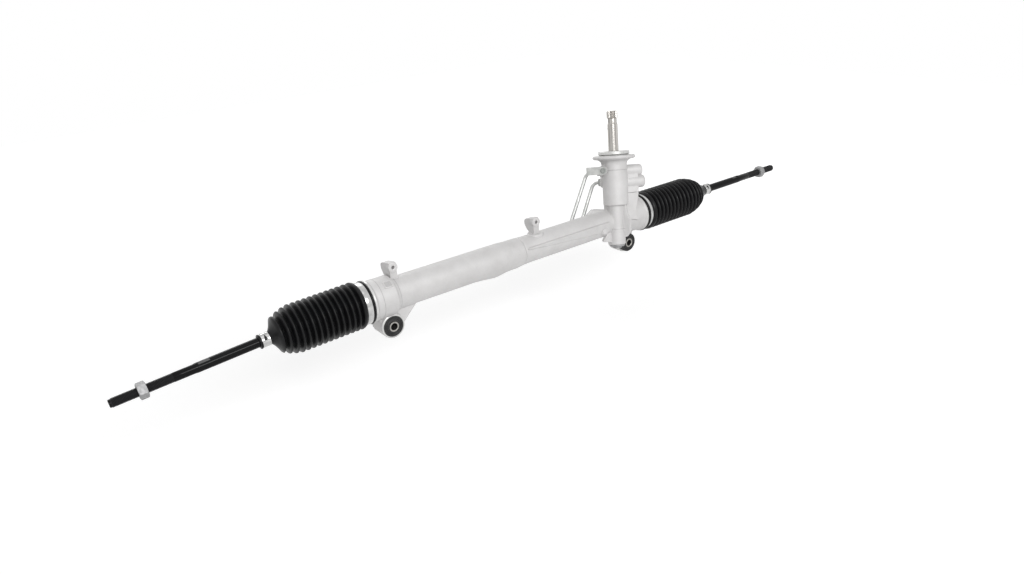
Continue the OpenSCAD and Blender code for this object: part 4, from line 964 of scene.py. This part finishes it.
    def big_clamp(self) -> None:
        """The wide steel band over the cuff, with round edges and its pinched ear."""
        start, end, steps, edge = self.fit.bead_end + 0.4, self.band_end, 3, 0.25
        z0, z1, r0, r1 = start + edge, end - edge, self.band_inner + edge, self.band_outer - edge
        section = []
        for z, r, first in ((z0, r1, 180), (z1, r1, 90), (z1, r0, 0), (z0, r0, -90)):
            for a in (math.radians(first - 90 * i / steps) for i in range(steps + 1)):
                section.append((z + edge * math.cos(a), r + edge * math.sin(a)))
        shape = Shape().lathe([*section, section[0]], 128)
        shape.add(*self.ear(30.4, 3.2, 2.6, 0.8, (start + 0.6, end - 0.6), 100.0))
        seat = LAYOUT.outward(self.side, LAYOUT.seat(self.side))
        obj = shape.build(f"{self.side.word}_boot_band", seat)
        self.finishes.dress(obj, "clamp_band")
        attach(obj, "housing")
        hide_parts(f"{self.side.word}_big_clamp")

    def small_clamp(self) -> None:
        """The narrow band on the rod's neck, with the V window that its tongue hooks into."""
        half, inner, outer = self.band_half, self.neck + 0.07, self.neck + 0.87
        angles, wide = around(120), self.window_half
        away = (np.degrees(angles) - self.fit.window_degrees + 180) % 360 - 180
        taper = (wide - away) / (2 * wide) * self.window_width
        gap = np.where(np.abs(away) < wide, taper, 0.0)
        section = [(gap, inner), (gap, outer), (half - 0.25, outer), (half, outer - 0.25)]
        section += [(half, inner), (gap, inner)]
        shape = Shape()
        for way in (1, -1):
            rings = [circle(r, angles, way * z) for z, r in section[::way]]
            shape.tube(rings, capped=False)
        ends = (-half + 0.8, half - 0.8)
        shape.add(*self.ear(self.neck + 0.8, 2.6, 2.0, 0.7, ends, self.fit.ear_degrees))
        placing = LAYOUT.along_rod(self.side) @ shift(0, 0, self.clamp_z)
        obj = shape.build(f"{self.side.word}_neck_band", placing)
        self.finishes.dress(obj, "clamp_band")
        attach(obj, f"{self.side.word}_rod")
        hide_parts(f"{self.side.word}_small_clamp")

    @staticmethod
    def ear(
        base: float, width: float, height: float, sheet: float, ends: Pair,
        angle: float,
    ) -> tuple[Array, list[tuple[int, ...]]]:
        """A pinched loop of the band, standing on its outside.

        Args:
            base: radius of the band's outside.
            width: width of the loop.
            height: height of the loop.
            sheet: thickness of the band.
            ends: lower and upper end of the loop.
            angle: place of the loop round the band, in degrees.

        Returns:
            Points and faces in the band's frame.
        """
        outer, inner = [], []
        steps, foot, pinch, squareness = 12, base - 0.3, 0.28, 0.7
        for t in (i / steps for i in range(steps + 1)):
            a = math.pi * t
            narrow = 1 - pinch * math.sin(a) ** 2 * (1 if 0.2 < t < 0.8 else 0.4)
            rise, across = height * math.sin(a) ** squareness, math.cos(a) * narrow
            outer.append((foot + rise, width / 2 * across))
            inner.append((foot + max(0.0, rise - sheet), (width / 2 - sheet) * across))
        outline = [*outer, *reversed(inner)]
        rings = [np.array([(x, y, z) for x, y in outline]) for z in ends]
        shape = Shape().tube(rings).moved(turn("Z", angle))
        return shape.points[0], shape.faces


@dataclass
class TieRod:
    """An inner tie rod: ball, forged shank, spanner flats and rolled thread."""

    side: Side
    finishes: Finishes
    ball: float = 12.0
    radius: float = 6.6
    blank: float = 6.05
    root: float = 5.2
    flat_z: float = 137.0
    flat_length: float = 15.0
    flat_half: float = 5.3
    thread_z: float = 182.0
    thread: Profile = ((0.0, 5.28), (0.30, 5.9), (0.40, 5.97), (0.60, 5.97), (0.70, 5.9))
    length: float = 259.0
    pitch: float = 1.5
    segments: int = 48

    def shank(self) -> Shape:
        """The rod from the ball to its tip, with the core of the thread."""
        radius, neck, blank = self.radius, self.radius - 0.7, self.blank
        angles = [math.pi * i / 24 for i in range(20)]
        profile = [(-self.ball * math.cos(a), self.ball * math.sin(a)) for a in angles]
        profile += [(11.6, neck + 0.3), (13.0, neck), (15.0, neck), (18.5, neck + 0.25)]
        profile += [(21.0, radius), (60.0, radius), (100.0, radius + 0.03)]
        start, end = self.flat_z, self.flat_z + self.flat_length
        profile += [(z, radius) for z in (start - 0.05, start, end, end + 0.05)]
        profile += [(end + 3.0, radius - 0.1), (end + 5.0, blank + 0.25), (end + 6.5, blank)]
        profile += [(self.thread_z + 1.5, blank), (self.thread_z + 3.0, self.root)]
        profile += [(self.length - 0.9, self.root), (self.length, 4.6), (self.length, 0)]
        shape = Shape().lathe(profile, self.segments)
        points = shape.points[0]
        flat = (points[:, 2] >= start - 0.01) & (points[:, 2] <= end + 0.01)
        points[flat, 0] = np.clip(points[flat, 0], -self.flat_half, self.flat_half)
        return shape

    def helix(self) -> Shape:
        """The rolled thread as one helical skin that tapers in at both ends."""
        n, count = self.segments, len(self.thread)
        first, last, taper = 5.15, 4.55, 0.35
        turns = int((self.length - 0.6 - self.thread_z) / self.pitch) - 1
        rows = turns * count + 1
        angles = around(n)
        rings = []
        for k in range(rows):
            part, radius = self.thread[k % count]
            z = self.thread_z + self.pitch * (k // count + part + angles / (2 * math.pi))
            limit = np.minimum(first + (z - self.thread_z) * taper, last + (self.length - z))
            rings.append(circle(np.minimum(radius, limit), angles, z))
        faces = []
        for k in range(rows - 1):
            a, b = k * n, (k + 1) * n
            faces.extend((a + j, a + j + 1, b + j + 1, b + j) for j in range(n - 1))
            if k + 1 + count < rows:
                faces.append((a + n - 1, a + count * n, b + count * n, b + n - 1))
        shape = Shape()
        shape.add(np.concatenate(rings), faces)
        return shape

    def build(self) -> None:
        """Makes the shank and the thread."""
        body = f"{self.side.word}_rod"
        placing = LAYOUT.along_rod(self.side)
        shank = self.shank().build(f"{self.side.word}_rod_shank", placing)
        self.finishes.dress(shank, "black_paint")
        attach(shank, body)
        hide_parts(f"{self.side.word}_tie_rod")
        thread = self.helix().build(f"{self.side.word}_rod_thread", placing, crease=50)
        self.finishes.dress(thread, "black_thread")
        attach(thread, body)


@dataclass
class MountBush:
    """The rubber bush and its steel sleeve in a mounting eye."""

    side: Side
    finishes: Finishes
    outer: float = 15.6
    inner: float = 8.15
    bore: float = 5.25
    half: float = 17.0
    sleeve_half: float = 18.5
    lip: float = 7.4

    @staticmethod
    def mirrored(section: Profile) -> Profile:
        """A closed section, from the half of it that lies at positive heights."""
        return [*section, *[(-z, r) for z, r in reversed(section)], section[0]]

    def build(self) -> None:
        """Makes the rubber with its moulded groove, and the sleeve."""
        placing, half, lip = LAYOUT.at_mount(self.side), self.half, self.lip
        groove = [(half - 0.3, lip + 0.1), (half + 0.1, lip + 0.7), (half - 0.1, 9.2)]
        groove += [(half - 1.5, 10.5), (half - 2.3, 11.4), (half - 1.9, 12.5), (half - 0.5, 13.3)]
        groove += [(half, 14.0), (half - 0.1, 14.9), (half - 0.9, self.outer)]
        shape = Shape().lathe(self.mirrored(groove))
        rubber = shape.build(f"{self.side.word}_bush_rubber", placing, crease=70)
        self.finishes.dress(rubber, "bush_skin")
        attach(rubber, "housing")
        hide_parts(f"{self.side.word}_bush")
        waist, face, bore = half - 1.0, self.sleeve_half, self.bore
        step = [(waist - 0.8, self.inner - 0.03), (waist, lip), (face - 0.5, lip)]
        step += [(face, lip - 0.5), (face, bore + 0.5), (face - 0.5, bore)]
        shape = Shape().lathe(self.mirrored(step)[::-1], 72)
        tube = shape.build(f"{self.side.word}_bush_tube", placing)
        self.finishes.dress(tube, "sleeve_steel", "bore_shade")
        centre = Vector(placing[:3, 3]) * MM
        for polygon in tube.data.polygons:
            out = polygon.center - centre
            polygon.material_index = int(math.hypot(out.x, out.z) < (bore + 0.2) * MM)
        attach(tube, "housing")
        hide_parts(f"{self.side.word}_sleeve")


@dataclass(frozen=True)
class FeedPipe:
    """A bent steel pipe between the valve tower and the cylinder."""

    name: str
    height: float
    heading: float
    reach: float
    route: tuple[Point, ...]
    seat_reach: float = 17.7
    radius: float = 3.1
    bend: float = 12.0
    bend_steps: int = 10
    sides: int = 20

    def corners(self) -> list[Array]:
        """The pipe's corner points in the row frame, as the CAD source gives them."""
        a = math.radians(self.heading)
        out = [
            (LAYOUT.tower() @ np.array([r * math.cos(a), r * math.sin(a), self.height, 1]))[:3]
            for r in (self.seat_reach, self.reach)
        ]
        return out + [np.array(p, float) for p in self.route]

    def path(self) -> list[Array]:
        """The pipe's middle line, straight between its bends."""
        corners = self.corners()
        path = [corners[0]]
        for a, b, c in zip(corners, corners[1:], corners[2:]):
            u, v = (b - a) / np.linalg.norm(b - a), (c - b) / np.linalg.norm(c - b)
            angle = math.acos(float(np.clip(u @ v, -1, 1)))
            side = v - u * (u @ v)
            side /= np.linalg.norm(side)
            centre = b - u * self.bend * math.tan(angle / 2) + side * self.bend
            for i in range(self.bend_steps + 1):
                t = angle * i / self.bend_steps
                path.append(centre - side * self.bend * math.cos(t) + u * self.bend * math.sin(t))
        return [*path, corners[-1]]

    def build(self, finishes: Finishes) -> None:
        """Sweeps the pipe along its middle line and dresses it."""
        path, rings = self.path(), []
        t = around(self.sides)[:, None]
        across = np.cross(path[1] - path[0], (0.3, 0.2, 0.9))
        for i, point in enumerate(path):
            ahead = path[min(i + 1, len(path) - 1)] - path[max(i - 1, 0)]
            ahead /= np.linalg.norm(ahead)
            across = across - ahead * (across @ ahead)
            across /= np.linalg.norm(across)
            up = np.cross(ahead, across)
            rings.append(point + self.radius * (np.cos(t) * across + np.sin(t) * up))
        obj = Shape().tube(rings).build(f"{self.name}_tube", np.eye(4), crease=60)
        finishes.dress(obj, "plated_tube")
        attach(obj, "housing")
        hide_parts(self.name)


LONG_ROUTE: tuple[Point, ...] = (
    (357.5, 26.0, 27.5), (87.5, 26.0, 27.5), (51.5, 46.0, 41.5), (27.5, 46.0, 41.5),
    (27.5, 21.9, 41.5),
)
SHORT_ROUTE: tuple[Point, ...] = (
    (398.0, 33.0, 41.5), (253.5, 33.0, 41.5), (231.5, 46.0, 41.5), (209.5, 46.0, 41.5),
    (209.5, 21.9, 41.5),
)
PIPES = (
    FeedPipe("long_feed_pipe", 84.0, 142.0, 45.8, LONG_ROUTE),
    FeedPipe("short_feed_pipe", 66.0, 110.0, 40.8, SHORT_ROUTE),
)


@dataclass(frozen=True)
class Lamp:
    """A large soft lamp: its place, its width and height, and its power in watts."""

    name: str
    place: Point
    size: Pair
    watts: float

    def build(self, aim: Point) -> None:
        """Makes the lamp and turns it towards a point."""
        data = bpy.data.lights.new(self.name, "AREA")
        data.shape, data.energy = "RECTANGLE", self.watts
        data.size, data.size_y = self.size
        obj = bpy.data.objects.new(self.name, data)
        obj.location = self.place
        obj.rotation_mode = "QUATERNION"
        obj.rotation_quaternion = (Vector(aim) - Vector(self.place)).to_track_quat("-Z", "Y")
        bpy.context.scene.collection.objects.link(obj)


@dataclass
class Studio:
    """The camera, the soft lamps, the white surround and the floor."""

    lens: float = 27.824
    sensor: float = 36.0
    camera_place: Point = (-0.4433, -0.93705, 0.4845)
    camera_right: Point = (0.7976, -0.5996, -0.0654)
    camera_up: Point = (0.2876, 0.2827, 0.9151)
    aim: Point = (0.25, 0.0, 0.04)
    lamps: tuple[Lamp, ...] = (
        Lamp("key_lamp", (-0.15, -1.95, 1.25), (1.7, 0.7), 28.0),
        Lamp("top_lamp", (-0.2, -0.3, 2.2), (1.6, 1.0), 2.5),
        Lamp("back_lamp", (0.3, 1.9, 1.4), (1.6, 1.2), 14.0),
    )
    daylight: float = 0.42
    floor_height: float = -0.16
    floor_half: float = 3.0

    def camera(self) -> None:
        """Puts the camera where the photograph was taken from."""
        data = bpy.data.cameras.new("photo_camera")
        data.lens, data.sensor_width = self.lens, self.sensor
        data.clip_start, data.clip_end = 0.02, 30.0
        obj = bpy.data.objects.new("photo_camera", data)
        right, up, place = map(Vector, (self.camera_right, self.camera_up, self.camera_place))
        columns = (right, up, right.cross(up), place)
        obj.matrix_world = Matrix([[c[i] for c in columns] for i in range(3)] + [(0, 0, 0, 1)])
        bpy.context.scene.collection.objects.link(obj)
        bpy.context.scene.camera = obj

    def surround(self) -> None:
        """A world that looks white and lights the rack evenly."""
        world = bpy.data.worlds.new("surround")
        bpy.context.scene.world = world
        world.use_nodes = True
        world.node_tree.nodes.clear()
        n = Tree(world.node_tree)
        rays = n.add("LightPath")
        seen = rays.outputs["Is Camera Ray"]
        for kind in ("Is Glossy Ray", "Is Transmission Ray"):
            seen = n.math("MAXIMUM", seen, rays.outputs[kind])
        light = n.add("Background", {"Color": WHITE, "Strength": self.daylight})
        shown = n.add("Background", {"Color": WHITE})
        mix = n.add("MixShader", {0: seen, 1: light.outputs[0], 2: shown.outputs[0]})
        n.add("OutputWorld", {0: mix.outputs[0]})

    def floor(self) -> None:
        """A wide white floor that keeps a faint shadow."""
        half = self.floor_half / MM
        corners = [(-half, -half, 0), (half, -half, 0), (half, half, 0), (-half, half, 0)]
        shape = Shape()
        shape.add(np.array(corners), [(0, 1, 2, 3)])
        obj = shape.build("studio_floor", shift(0, 0, self.floor_height / MM))
        n = Nodes("floor_white")
        white = n.blend(n.noise(0.8), (0.80, 0.80, 0.80), (0.82, 0.82, 0.82))
        n.feed(Base_Color=white, Roughness=0.9)
        distance = n.vector("LENGTH", n.place, output="Value")
        strength = n.ramp(distance, 0.5, 2.2, 0.35, 0.70)
        rays = n.add("LightPath").outputs
        seen = n.math("MAXIMUM", rays["Is Camera Ray"], rays["Is Glossy Ray"])
        glow = n.add("Emission", {"Color": WHITE, "Strength": n.math("MULTIPLY", seen, strength)})
        both = n.add("AddShader", {0: n.shader.outputs[0], 1: glow.outputs[0]})
        out = next(x for x in n.tree.nodes if x.type == "OUTPUT_MATERIAL")
        n.tree.links.new(both.outputs[0], out.inputs["Surface"])
        obj.data.materials.append(n.material)

    def build(self) -> None:
        """Sets the whole studio up."""
        bpy.context.scene.view_settings.view_transform = "Standard"
        self.camera()
        for lamp in self.lamps:
            lamp.build(self.aim)
        self.surround()
        self.floor()


def main() -> None:
    """Builds every sub-assembly in order."""
    logging.basicConfig(level=logging.INFO, format="%(name)s: %(message)s")
    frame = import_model()
    Studio().build()
    finishes = Finishes()
    for name, nodes in DRESSED_NODES.items():
        for node in nodes.split():
            finishes.dress(frame["nodes"][node], name)
    Castings(frame, finishes).build()
    for side in Side:
        boot = Boot(side, finishes, BOOT_FITS[side])
        for part in (boot, TieRod(side, finishes), MountBush(side, finishes)):
            part.build()
            LOG.info("%s %s built", side.word, type(part).__name__)
    for pipe in PIPES:
        pipe.build(finishes)
        LOG.info("%s built", pipe.name)


if __name__ == "__main__":
    main()
